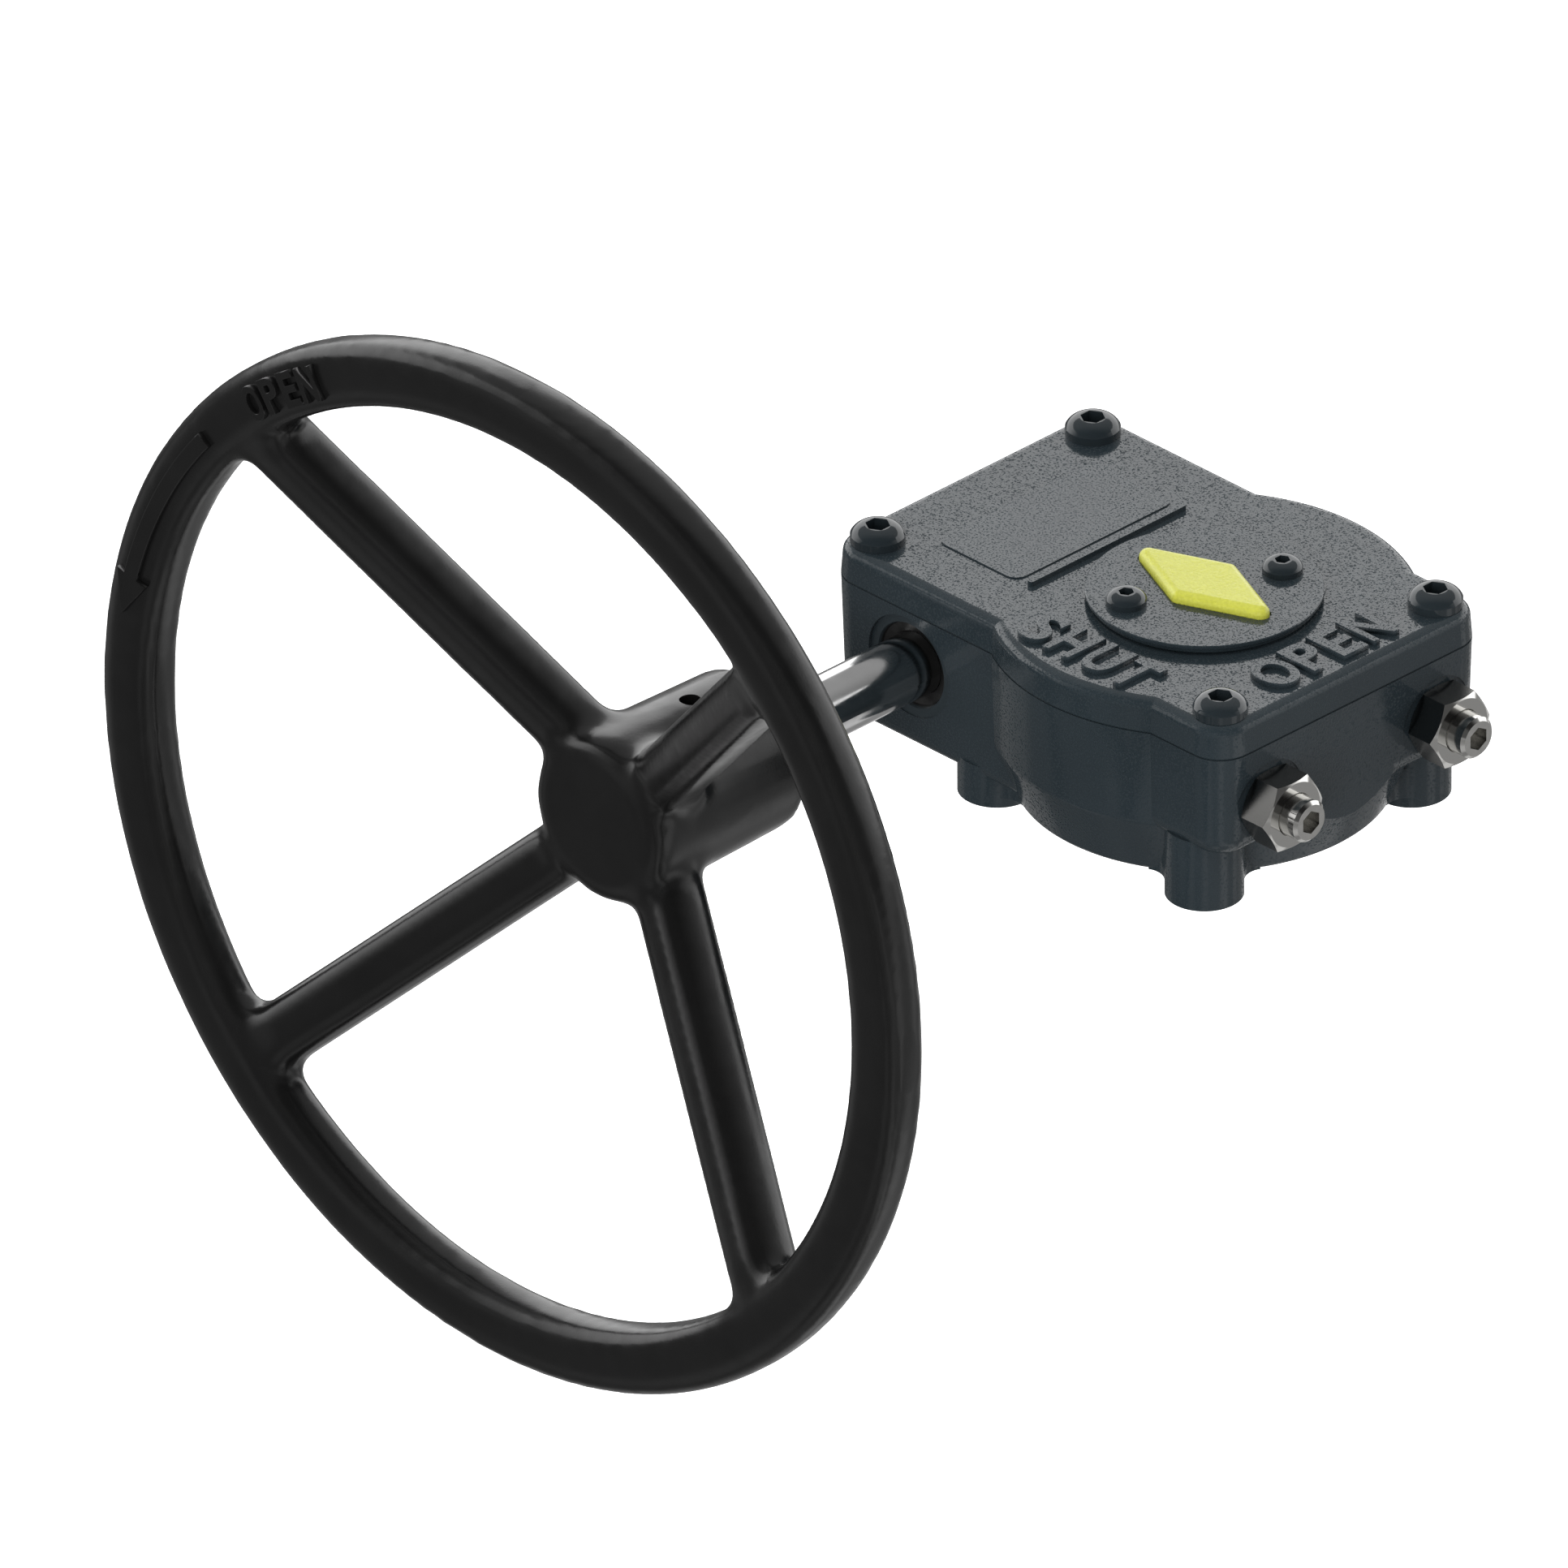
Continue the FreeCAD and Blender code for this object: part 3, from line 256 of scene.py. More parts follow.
def finish(name, colour, patches, sheen, grains):
    """A node material whose colour, roughness and surface vary as the real finish does. patches is
    the width of its lighter and darker places, and how much they differ. sheen is its lowest and
    highest roughness and the width of that pattern. Each of grains is one layer of the surface:
    its width, its height, and how it is drawn out along the axes, or None."""
    material = bpy.data.materials.new(name)
    material.use_nodes = True
    tree = material.node_tree
    tree.nodes.clear()
    shader = add_node(tree, "ShaderNodeBsdfPrincipled", {"name": "Finish"})
    add_node(tree, "ShaderNodeOutputMaterial", None, {"Surface": shader.outputs["BSDF"]})
    place = add_node(tree, "ShaderNodeTexCoord", {"name": "Place"}).outputs["Object"]
    width, contrast = patches
    clouds = add_node(tree, "ShaderNodeTexNoise", None, {"Vector": place, "Scale": 1 / width})
    level = add_node(
        tree, "ShaderNodeMapRange", None, {"Value": clouds.outputs["Fac"], **NOISE_MIDDLE}
    )
    dark, light = shaded(colour, 1 - contrast), shaded(colour, 1 + contrast)
    colours = add_node(
        tree,
        "ShaderNodeMix",
        {"data_type": "RGBA", "name": "Colour"},
        {0: level.outputs["Result"], 6: dark, 7: light},
    )
    tree.links.new(colours.outputs[2], shader.inputs["Base Color"])
    low, high, width = sheen
    film = add_node(tree, "ShaderNodeTexNoise", None, {"Vector": place, "Scale": 1 / width})
    roughness = add_node(
        tree,
        "ShaderNodeMapRange",
        {"name": "Sheen"},
        {"Value": film.outputs["Fac"], "To Min": low, "To Max": high, **NOISE_MIDDLE},
    )
    tree.links.new(roughness.outputs["Result"], shader.inputs["Roughness"])
    surface = None
    for width, height, stretch in grains:
        where = place
        if stretch:
            mapping = add_node(tree, "ShaderNodeMapping", None, {"Vector": place, "Scale": stretch})
            where = mapping.outputs["Vector"]
        inputs = {"Vector": where, "Scale": 1 / width, "Detail": 1.0}
        noise = add_node(tree, "ShaderNodeTexNoise", None, inputs)
        rise = add_node(
            tree, "ShaderNodeMapRange", None, {"Value": noise.outputs["Fac"], **NOISE_SPAN}
        )
        inputs = {"Height": rise.outputs["Result"], "Distance": height}
        if surface:
            inputs["Normal"] = surface.outputs["Normal"]
        surface = add_node(tree, "ShaderNodeBump", None, inputs)
    tree.links.new(surface.outputs["Normal"], shader.inputs["Normal"])
    return material


def powder_coat(name, colour, peel, peel_height):
    """Polyester powder coat, sprayed dry and baked on cast iron: glossy, so that it mirrors what
    stands on it, with a fine shallow peel, and matt specks where single grains haven't flowed out.
    The specks are drawn a few times as coarse as the real ones, so that they show."""
    skin = (9 * MM, 0.004 * MM, None)
    grains = [skin, (peel, peel_height, None)]
    material = finish(name, colour, (22 * MM, 0.06), (0.04, 0.75, SPECK), grains)
    nodes = material.node_tree.nodes
    nodes["Finish"].inputs["IOR"].default_value = PAINT_IOR
    for limit, value in SPECK_SPAN.items():
        nodes["Sheen"].inputs[limit].default_value = value
    return material


def stove_enamel(name, colour):
    """Satin black stove enamel on an iron casting: thin, so that the fine casting skin shows as a
    soft grain in its sheen."""
    grains = [(5 * MM, 0.01 * MM, None), (0.5 * MM, 0.004 * MM, None)]
    material = finish(name, colour, (18 * MM, 0.1), (0.2, 0.27, 4 * MM), grains)
    material.node_tree.nodes["Finish"].inputs["IOR"].default_value = PAINT_IOR
    return material


def moulded_nylon(name, colour):
    """Nylon, injection moulded in a spark eroded mould: semi gloss yellow with a fine even grain
    that darkens it in spots."""
    spots = (0.5 * MM, 0.02 * MM, None)
    material = finish(name, colour, (0.5 * MM, 0.05), (0.22, 0.3, 2 * MM), [spots])
    shader = material.node_tree.nodes["Finish"]
    shader.inputs["IOR"].default_value = NYLON_IOR
    shader.inputs["Subsurface Weight"].default_value = 0.05
    shader.inputs["Subsurface Radius"].default_value = (0.6 * MM, 0.6 * MM, 0.2 * MM)
    return material


def bare_metal(name, colour, roughness, grains, stain=0.06):
    """Bare metal with its tool marks, a little stained."""
    sheen = (roughness * 0.8, roughness * 1.2, 1.5 * MM)
    material = finish(name, colour, (6 * MM, stain), sheen, grains)
    material.node_tree.nodes["Finish"].inputs["Metallic"].default_value = 1.0
    return material


def hexagon_stainless(name, colour):
    """Stainless steel A2 nuts, cut from cold drawn hexagon bar: their turned faces are nearly a mirror,
    and the drawn flats, which face across the bar's length, are softer. The flats are also painted
    darker, as painted shade in place of the dimmer light on them."""
    material = bare_metal(name, colour, 0.08, [(0.6 * MM, 0.0004 * MM, None)])
    tree = material.node_tree
    shader = tree.nodes["Finish"]
    normal = add_node(tree, "ShaderNodeNewGeometry").outputs["Normal"]
    facing = add_node(tree, "ShaderNodeSeparateXYZ", None, {"Vector": normal}).outputs["X"]
    end = add_node(tree, "ShaderNodeMapRange", None, {"Value": facing, **NUT_END_SHADE_AND_SHEEN}).outputs["Result"]
    # Painted shade: the flats get the steel's colour darkened to 0.4, and the turned ends the full
    # colour.
    colours = add_node(
        tree, "ShaderNodeMix", {"data_type": "RGBA"}, {0: end, 6: shaded(colour, 0.4), 7: colour}
    )
    tree.links.new(colours.outputs[2], shader.inputs["Base Color"])
    # The flats' roughness comes first, and then the turned ends'.
    roughness = add_node(
        tree, "ShaderNodeMapRange", None, {"Value": end, "To Min": 0.24, "To Max": 0.08}
    )
    tree.links.new(roughness.outputs["Result"], shader.inputs["Roughness"])
    return material


def lip_seal(name, rubber, case):
    """Rotary shaft seal pressed into its bore before painting: its case is painted with the
    castings, and only the nitrile rubber lip next to the shaft stays matt black."""
    material = finish(name, rubber, (5 * MM, 0.15), (0.3, 0.4, 1 * MM), [(0.4 * MM, 0.006 * MM, None)])
    tree = material.node_tree
    place = tree.nodes["Place"].outputs["Object"]
    offset = add_node(
        tree,
        "ShaderNodeVectorMath",
        {"operation": "SUBTRACT"},
        {0: place, 1: tuple(SHAFT_AXIS)},
    )
    across = add_node(
        tree,
        "ShaderNodeVectorMath",
        {"operation": "MULTIPLY"},
        {0: offset.outputs[0], 1: (1, 0, 1)},
    )
    radius = add_node(tree, "ShaderNodeVectorMath", {"operation": "LENGTH"}, {0: across.outputs[0]})
    painted = add_node(
        tree, "ShaderNodeMapRange", None, {"Value": radius.outputs["Value"], **SEAL_LIP}
    ).outputs["Result"]
    colours = add_node(
        tree, "ShaderNodeMix", {"data_type": "RGBA"}, {0: painted, 6: rubber, 7: case}
    )
    tree.links.new(colours.outputs[2], tree.nodes["Finish"].inputs["Base Color"])
    return material


def wear(material, *pieces):
    """Puts the material on the pieces, or on the CAD nodes of those names."""
    for piece in pieces:
        if isinstance(piece, str):
            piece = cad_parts[piece]
        piece.data.materials.clear()
        piece.data.materials.append(material)


def deselect_all():
    """Lets go of everything, because an operator acts on all that is selected."""
    for other in bpy.context.selected_objects:
        other.select_set(False)


def only(piece):
    """Selects the piece alone and makes it active."""
    deselect_all()
    piece.select_set(True)
    bpy.context.view_layer.objects.active = piece


def own_copy(node, name):
    """A copy of a CAD node with its loose triangles merged."""
    piece = bpy.data.objects.new(name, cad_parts[node].data.copy())
    bpy.context.scene.collection.objects.link(piece)
    only(piece)
    bpy.ops.object.mode_set(mode="EDIT")
    bpy.ops.mesh.select_all(action="SELECT")
    bpy.ops.mesh.remove_doubles(threshold=SAME_PLACE)
    bpy.ops.object.mode_set(mode="OBJECT")
    return piece


def apply_modifier(piece, kind, **settings):
    """Adds a modifier to the piece and applies it."""
    only(piece)
    modifier = piece.modifiers.new(kind.lower(), kind)
    for name, value in settings.items():
        setattr(modifier, name, value)
    bpy.ops.object.modifier_apply(modifier=modifier.name)


def coordinates(mesh):
    """The mesh's vertices as an array."""
    places = np.empty(len(mesh.vertices) * 3)
    mesh.vertices.foreach_get("co", places)
    return places.reshape(-1, 3)


def smooth_step(values, low, high):
    """0 up to low, 1 from high, and smooth between them."""
    part = np.clip((values - low) / (high - low), 0, 1)
    return part * part * (3 - 2 * part)


def fill_corners(mesh, zone, passes):
    """Rounds a casting's inner corners as a pattern maker's fillets do. Each pass moves a point
    outwards where its neighbours lie outside it, and never inwards, so outer edges stay. zone
    gives how far each place takes part."""
    every = coordinates(mesh)
    corners = np.empty(len(mesh.loops), dtype=np.int64)
    mesh.loops.foreach_get("vertex_index", corners)
    quads = corners.reshape(-1, 4)
    # Only the faces that have a point in the zone take part.
    quads = quads[(zone(every) > 0)[quads].any(1)]
    taken, quads = np.unique(quads, return_inverse=True)
    quads = quads.reshape(-1, 4)
    places = every[taken]
    count = len(places)
    edges = np.sort(np.concatenate([quads[:, [k, (k + 1) % 4]] for k in range(4)]), axis=1)
    first, second = np.unique(edges, axis=0).T
    links = np.bincount(first, minlength=count) + np.bincount(second, minlength=count)
    for _ in range(passes):
        one = places[quads[:, 2]] - places[quads[:, 0]]
        other = places[quads[:, 3]] - places[quads[:, 1]]
        diagonals = np.cross(one, other)
        normals = np.empty_like(places)
        pull = np.empty_like(places)
        for axis in range(3):
            face = diagonals[:, axis]
            normals[:, axis] = sum(np.bincount(quads[:, k], face, count) for k in range(4))
            pull[:, axis] = np.bincount(first, places[second, axis], count)
            pull[:, axis] += np.bincount(second, places[first, axis], count)
        normals /= np.maximum(np.linalg.norm(normals, axis=1, keepdims=True), 1e-20)
        pull = pull / links[:, None] - places
        out = np.einsum("ij,ij->i", pull, normals)
        along = pull - out[:, None] * normals
        move = np.clip(out - FILLED, 0, None)[:, None] * normals * OUT_SHARE + along * ALONG_SHARE
        places += move * zone(places)[:, None]
    every[taken] = places
    mesh.vertices.foreach_set("co", every.ravel())
    mesh.update()


def letter(character, width, height, thick):
    """One raised letter as a mesh, its foot at 0, that wide and high, facing +Z."""
    deselect_all()
    bpy.ops.object.text_add()
    piece = bpy.context.object
    piece.data.body = character
    # These are shares of the font's height, before the letter gets its size.
    piece.data.extrude = 0.05
    piece.data.bevel_depth = 0.012
    piece.data.bevel_resolution = 1
    piece.data.offset = 0.021
    piece.data.resolution_u = 8
    bpy.ops.object.convert(target="MESH")
    places = coordinates(piece.data)
    low, high = places.min(0), places.max(0)
    scale = np.array([width, height, thick]) / (high - low)
    middle = np.array([(low[0] + high[0]) / 2, low[1], low[2]])
    piece.data.vertices.foreach_set("co", ((places - middle) * scale).ravel())
    return piece


def placed(piece, along, up, out, corner):
    """Moves a flat lying mesh to its place: along, up and out are its new axes."""
    axes = Matrix((along, up, out)).transposed().to_4x4()
    piece.data.transform(Matrix.Translation(corner) @ axes)
    piece.data.update()


def joined(pieces, name):
    """The pieces as one object of that name."""
    only(pieces[0])
    for piece in pieces[1:]:
        piece.select_set(True)
    bpy.ops.object.join()
    pieces[0].name = name
    pieces[0].data.name = name
    return pieces[0]


# Each letter's middle and width in mm. The words on the cover stand with their feet outwards.
OPEN_LETTERS = ((-11.3, 7.8), (-3.2, 6.2), (4.2, 6.1), (11.8, 6.3))
SHUT_LETTERS = ((-11.1, 5.9), (-3.6, 6.4), (4.4, 6.5), (11.8, 6.4))
WORD_FOOT = 34.0 * MM

# Each rim letter's angle in degrees round the wheel's axis, and its width in mm.
RIM_LETTERS = ((129.5, 4.6), (126.15, 4.4), (122.7, 4.3), (119.45, 4.8))
# How far inside the rim's edge the letters' feet stand.
RIM_WORD_IN = 9.6 * MM

# The rim's arrow: its shaft's radii, the head's at its inner corner, tip and outer corner, and the
# angles in degrees where its shaft starts, its head starts and its head ends.
ARROW_SHAFT = (92.3 * MM, 95.1 * MM)
ARROW_HEAD = (90.2 * MM, 94.0 * MM, 96.8 * MM)
ARROW_TURNS = (140.5, 165, 170)
ARROW_STEPS = 24
ARROW_EDGE = 0.15 * MM

# How deep the words and the arrow reach into what carries them.
SUNK = 0.3 * MM

# What the camera looks at, and how far it stands from it.
VIEW_CENTRE = Vector((-40.38 * MM, -65.18 * MM, 10.93 * MM))
CAMERA_DISTANCE = 1.2

# Soft panels that light the paint but leave no mirror image in it. Each is its place in metres and
# its power in watts.
PANELS = (("top_panel", (0.2, -0.3, 1.3), 7), ("front_panel", (0.5, -1.4, 0.35), 20))
PANEL_SIZE = 1.1

# The floor's width in metres, and how far it lies under the object.
FLOOR_SIZE = 6
FLOOR_GAP = 1 * MM


class GearOperator:
    """What all the operators here share."""

    bl_options = {"REGISTER", "UNDO"}


class VALVEGEAR_OT_castings(GearOperator, Operator):
    """Paints the gearbox's castings, the gasket between them and the indicator cap"""

    bl_idname = "valvegear.castings"
    bl_label = "Castings"

    def execute(self, context):
        values = context.scene.valvegear_casting
        paint = powder_coat("powder_coat_slate", tuple(values.paint), values.peel, values.peel_height)
        wear(paint, "housing", "cover", "cover_gasket", "indicator_cap")
        return {"FINISHED"}


class VALVEGEAR_OT_nameplate(GearOperator, Operator):
    """Paints the blank nameplate"""

    bl_idname = "valvegear.nameplate"
    bl_label = "Nameplate"

    def execute(self, context):
        values = context.scene.valvegear_casting
        paint = powder_coat("powder_coat_plate", tuple(values.plate), values.peel, values.peel_height)
        wear(paint, "nameplate")
        return {"FINISHED"}


class VALVEGEAR_OT_screws(GearOperator, Operator):
    """Paints the cover's and the indicator's button head screws"""

    bl_idname = "valvegear.screws"
    bl_label = "Painted screws"

    def execute(self, context):
        values = context.scene.valvegear_casting
        # Sprayed thinner than the castings, the screws' coat has flowed out to an even gloss.
        skin = (0.8 * MM, 0.003 * MM, None)
        # Painted shade: this colour is a darker copy of the castings' paint, so that the heads and their
        # sockets read darker.
        colour = tuple(values.screw_paint)
        paint = finish("screw_powder_coat_shaded", colour, (22 * MM, 0.06), (0.03, 0.06, 3 * MM), [skin])
        wear(paint, "cover_screws", "indicator_screws")
        return {"FINISHED"}


class VALVEGEAR_OT_handwheel(GearOperator, Operator):
    """Casts the handwheel with its filleted spokes and paints it black"""

    bl_idname = "valvegear.handwheel"
    bl_label = "Handwheel"

    def execute(self, context):
        values = context.scene.valvegear_wheel
        wheel = own_copy("handwheel", "handwheel_casting")
        remesh = {"mode": "VOXEL", "voxel_size": values.voxel, "use_smooth_shade": True}
        self.plug_pin_hole(wheel)
        # The points crowd where a corner fills, so each round starts from an even mesh.
        for _ in range(values.fillet_rounds):
            apply_modifier(wheel, "REMESH", **remesh)
            fill_corners(wheel.data, self.fillet_zone, values.fillet_passes)
        apply_modifier(wheel, "REMESH", **remesh)
        apply_modifier(wheel, "SMOOTH", factor=0.5, iterations=5)
        self.set_back_rim(wheel.data, values.set_back)
        self.drill_pin_hole(wheel)
        paint = stove_enamel("satin_black_enamel", tuple(values.paint))
        wear(paint, wheel)
        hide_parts("handwheel")
        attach(wheel, "input")
        return {"FINISHED"}

    def fillet_zone(self, places):
        """How far each place takes part in the filling, from 0 to 1. The fillets lie between the
        spokes, which stand at 45 degrees, and the hub or the rim, and the bore keeps its size."""
        across, up = places[:, 0] - WHEEL_AXIS.x, places[:, 2] - WHEEL_AXIS.z
        radius = np.hypot(across, up)
        spokes = 1 - smooth_step(np.abs(across**2 - up**2) / radius**2, *SPOKE_ZONE)
        front = smooth_step(-places[:, 1], *FRONT_ZONE)
        hub = smooth_step(radius, *HUB_ZONE_IN) * (1 - smooth_step(radius, *HUB_ZONE_OUT))
        return front * (hub + RIM_SHARE * spokes * smooth_step(radius, *RIM_ZONE))

    def plug_pin_hole(self, wheel):
        """Fills both ends of the pin's hole flush with the hub, so that the casting's fillets
        pass over them evenly. The remeshing makes them one with the wheel."""
        ends = (
            (PIN_LOW.z - PIN_DEPTH, SHAFT_AXIS.z - SHAFT_RADIUS),
            (SHAFT_AXIS.z + SHAFT_RADIUS, PIN_HIGH.z + PIN_DEPTH),
        )
        for start, end in ends:
            deselect_all()
            bpy.ops.mesh.primitive_cylinder_add(
                vertices=HOLE_SIDES,
                radius=PIN_RADIUS + PLUG_MARGIN,
                depth=end - start,
                location=(SHAFT_AXIS.x, PIN_MIDDLE.y, (start + end) / 2),
            )
            wheel.select_set(True)
            bpy.context.view_layer.objects.active = wheel
            bpy.ops.object.join()

    def drill_pin_hole(self, wheel):
        """Drills the pin's hole through the hub again, with a crisp edge."""
        deselect_all()
        bpy.ops.mesh.primitive_cylinder_add(
            vertices=HOLE_SIDES, radius=PIN_RADIUS, depth=WHEEL_RADIUS, location=PIN_MIDDLE
        )
        drill = bpy.context.object
        apply_modifier(wheel, "BOOLEAN", operation="DIFFERENCE", solver="EXACT", object=drill)
        bpy.data.objects.remove(drill)
        only(wheel)
        bpy.ops.object.shade_smooth_by_angle(angle=CRISP_EDGE)

    def set_back_rim(self, mesh, depth):
        """Moves the rim's front back, so that its raised word ends where the CAD rim does."""
        places = coordinates(mesh)
        radius = np.hypot(places[:, 0] - WHEEL_AXIS.x, places[:, 2] - WHEEL_AXIS.z)
        front = 1 - smooth_step(places[:, 1] - WHEEL_FRONT, 0, SET_BACK_DEPTH)
        places[:, 1] += depth * front * smooth_step(radius, *SET_BACK_ZONE)
        mesh.vertices.foreach_set("co", places.ravel())
        mesh.update()


class VALVEGEAR_OT_rim_words(GearOperator, Operator):
    """Raises the open word and its arrow on the wheel's rim"""

    bl_idname = "valvegear.rim_words"
    bl_label = "Rim word and arrow"

    def execute(self, context):
        values = context.scene.valvegear_lettering
        radius = WHEEL_RADIUS - RIM_WORD_IN
        depth = context.scene.valvegear_wheel.set_back + SUNK
        pieces = []
        for character, (turn, width) in zip(values.open_word, RIM_LETTERS):
            turn = math.radians(turn)
            outward = Vector((math.cos(turn), 0, math.sin(turn)))
            along = Vector((math.sin(turn), 0, -math.cos(turn)))
            sign = letter(character, width * MM, values.rim_height, depth)
            foot = Vector((WHEEL_AXIS.x, WHEEL_FRONT + depth, WHEEL_AXIS.z)) + outward * radius
            placed(sign, along, outward, Vector((0, -1, 0)), foot)
            pieces.append(sign)
        word = joined(pieces, "rim_word")
        arrow = self.arrow(depth)
        for piece in (word, arrow):
            wear(bpy.data.materials["satin_black_enamel"], piece)
            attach(piece, "input")
        return {"FINISHED"}

    def arrow(self, depth):
        """The curved arrow that follows the rim, as a flat curve made a mesh."""
        inner, outer = ARROW_SHAFT
        head_inner, head_tip, head_outer = ARROW_HEAD
        start, base, tip = (math.radians(turn) for turn in ARROW_TURNS)
        turns = [start + (base - start) * k / ARROW_STEPS for k in range(ARROW_STEPS + 1)]
        outline = [(outer, t) for t in turns]
        outline += [(head_outer, base), (head_tip, tip), (head_inner, base)]
        outline += [(inner, t) for t in reversed(turns)]
        curve = bpy.data.curves.new("rim_arrow", "CURVE")
        curve.dimensions = "2D"
        curve.fill_mode = "BOTH"
        curve.extrude = depth / 2 - ARROW_EDGE
        curve.bevel_depth = ARROW_EDGE
        curve.bevel_resolution = 2
        spline = curve.splines.new("POLY")
        spline.points.add(len(outline) - 1)
        for point, (radius, turn) in zip(spline.points, outline):
            point.co = (radius * math.cos(turn), radius * math.sin(turn), 0, 1)
        spline.use_cyclic_u = True
        arrow = bpy.data.objects.new("rim_arrow", curve)
        bpy.context.scene.collection.objects.link(arrow)
        only(arrow)
        bpy.ops.object.convert(target="MESH")
        arrow = bpy.context.object
        place = Vector((WHEEL_AXIS.x, WHEEL_FRONT + depth / 2, WHEEL_AXIS.z))
        placed(arrow, Vector((1, 0, 0)), Vector((0, 0, 1)), Vector((0, -1, 0)), place)
        return arrow


class VALVEGEAR_OT_cover_words(GearOperator, Operator):
    """Raises the open and shut words on the cover"""

    bl_idname = "valvegear.cover_words"
    bl_label = "Cover words"

    def execute(self, context):
        values = context.scene.valvegear_lettering
        level = COVER_TOP - SUNK
        thick = values.raised + SUNK
        # Each word's name, its letters, and the directions that it reads and stands in.
        right, back = Vector((1, 0, 0)), Vector((0, 1, 0))
        rows = (
            ("cover_word_open", values.open_word, back, -right, OPEN_LETTERS),
            ("cover_word_shut", values.shut_word, right, back, SHUT_LETTERS),
        )
        for name, word, along, up, letters in rows:
            foot = up * -WORD_FOOT + Vector((0, 0, level))
            signs = []
            for character, (place, width) in zip(word, letters):
                sign = letter(character, width * MM, values.height, thick)
                placed(sign, along, up, Vector((0, 0, 1)), foot + along * place * MM)
                signs.append(sign)
            piece = joined(signs, name)
            wear(bpy.data.materials["powder_coat_slate"], piece)
            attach(piece, "gearbox")
        return {"FINISHED"}


class VALVEGEAR_OT_pointer(GearOperator, Operator):
    """Colours the moulded indicator pointer"""

    bl_idname = "valvegear.pointer"
    bl_label = "Indicator pointer"

    def execute(self, context):
        values = context.scene.valvegear_fittings
        wear(moulded_nylon("moulded_nylon_yellow", tuple(values.pointer)), "indicator_pointer")
        return {"FINISHED"}


class VALVEGEAR_OT_stops(GearOperator, Operator):
    """Finishes the stop screws and their lock nuts in stainless steel"""

    bl_idname = "valvegear.stops"
    bl_label = "Stop screws and nuts"

    def execute(self, context):
        values = context.scene.valvegear_fittings
        wear(hexagon_stainless("hexagon_stainless_steel", tuple(values.stainless)), "stop_lock_nuts")
        # Turned bar: fine rings from the tool run round each screw, across its length.
        turned = (0.15 * MM, 0.0006 * MM, (1, 0.1, 0.1))
        bright = bare_metal("turned_stainless_steel", tuple(values.stainless), 0.14, [turned], 0.03)
        wear(bright, "open_stop_screw", "shut_stop_screw")
        return {"FINISHED"}


class VALVEGEAR_OT_shaft(GearOperator, Operator):
    """Finishes the input shaft, worm, pins and plug"""

    bl_idname = "valvegear.shaft"
    bl_label = "Shaft, worm and pins"

    def execute(self, context):
        values = context.scene.valvegear_fittings
        lay = (0.12 * MM, 0.0008 * MM, (0.15, 1, 0.15))
        ground = bare_metal("ground_steel", tuple(values.steel), 0.14, [lay], 0.03)
        wear(ground, "input_shaft")
        hobbed = (0.2 * MM, 0.003 * MM, None)
        steel = bare_metal("hobbed_steel", tuple(values.gear_steel), 0.3, [hobbed])
        wear(steel, "worm", "worm_pin", "handwheel_pin", "dowel_pins")
        black = bare_metal("blackened_steel", shaded(tuple(values.gear_steel), 0.25), 0.4, [hobbed])
        wear(black, "rear_plug")
        return {"FINISHED"}


class VALVEGEAR_OT_gears(GearOperator, Operator):
    """Finishes the worm quadrant and the bronze bushes, bearings and washers"""

    bl_idname = "valvegear.gears"
    bl_label = "Worm quadrant and bushes"

    def execute(self, context):
        values = context.scene.valvegear_fittings
        milled = (0.4 * MM, 0.006 * MM, None)
        iron = bare_metal("machined_ductile_iron", tuple(values.iron), 0.42, [milled], 0.12)
        wear(iron, "worm_quadrant")
        bronze = bare_metal("bearing_bronze", tuple(values.bronze), 0.3, [(0.25 * MM, 0.003 * MM, None)])
        wear(
            bronze,
            "lower_bush",
            "upper_bush",
            "front_bearing",
            "rear_bearing",
            "front_thrust_washer",
            "rear_thrust_washer",
        )
        return {"FINISHED"}


class VALVEGEAR_OT_seals(GearOperator, Operator):
    """Finishes the shaft's lip seal and the O rings in nitrile rubber"""

    bl_idname = "valvegear.seals"
    bl_label = "Seals"

    def execute(self, context):
        values = context.scene.valvegear_fittings
        rubber, case = tuple(values.rubber), tuple(context.scene.valvegear_casting.paint)
        # Moulded nitrile rubber is matt black, with the fine grain of its mould.
        ring = finish(
            "nitrile_rubber", rubber, (5 * MM, 0.15), (0.5, 0.62, 1 * MM), [(0.3 * MM, 0.004 * MM, None)]
        )
        wear(ring, "base_seal", "indicator_seal")
        wear(lip_seal("painted_lip_seal", rubber, case), "shaft_seal")
        return {"FINISHED"}


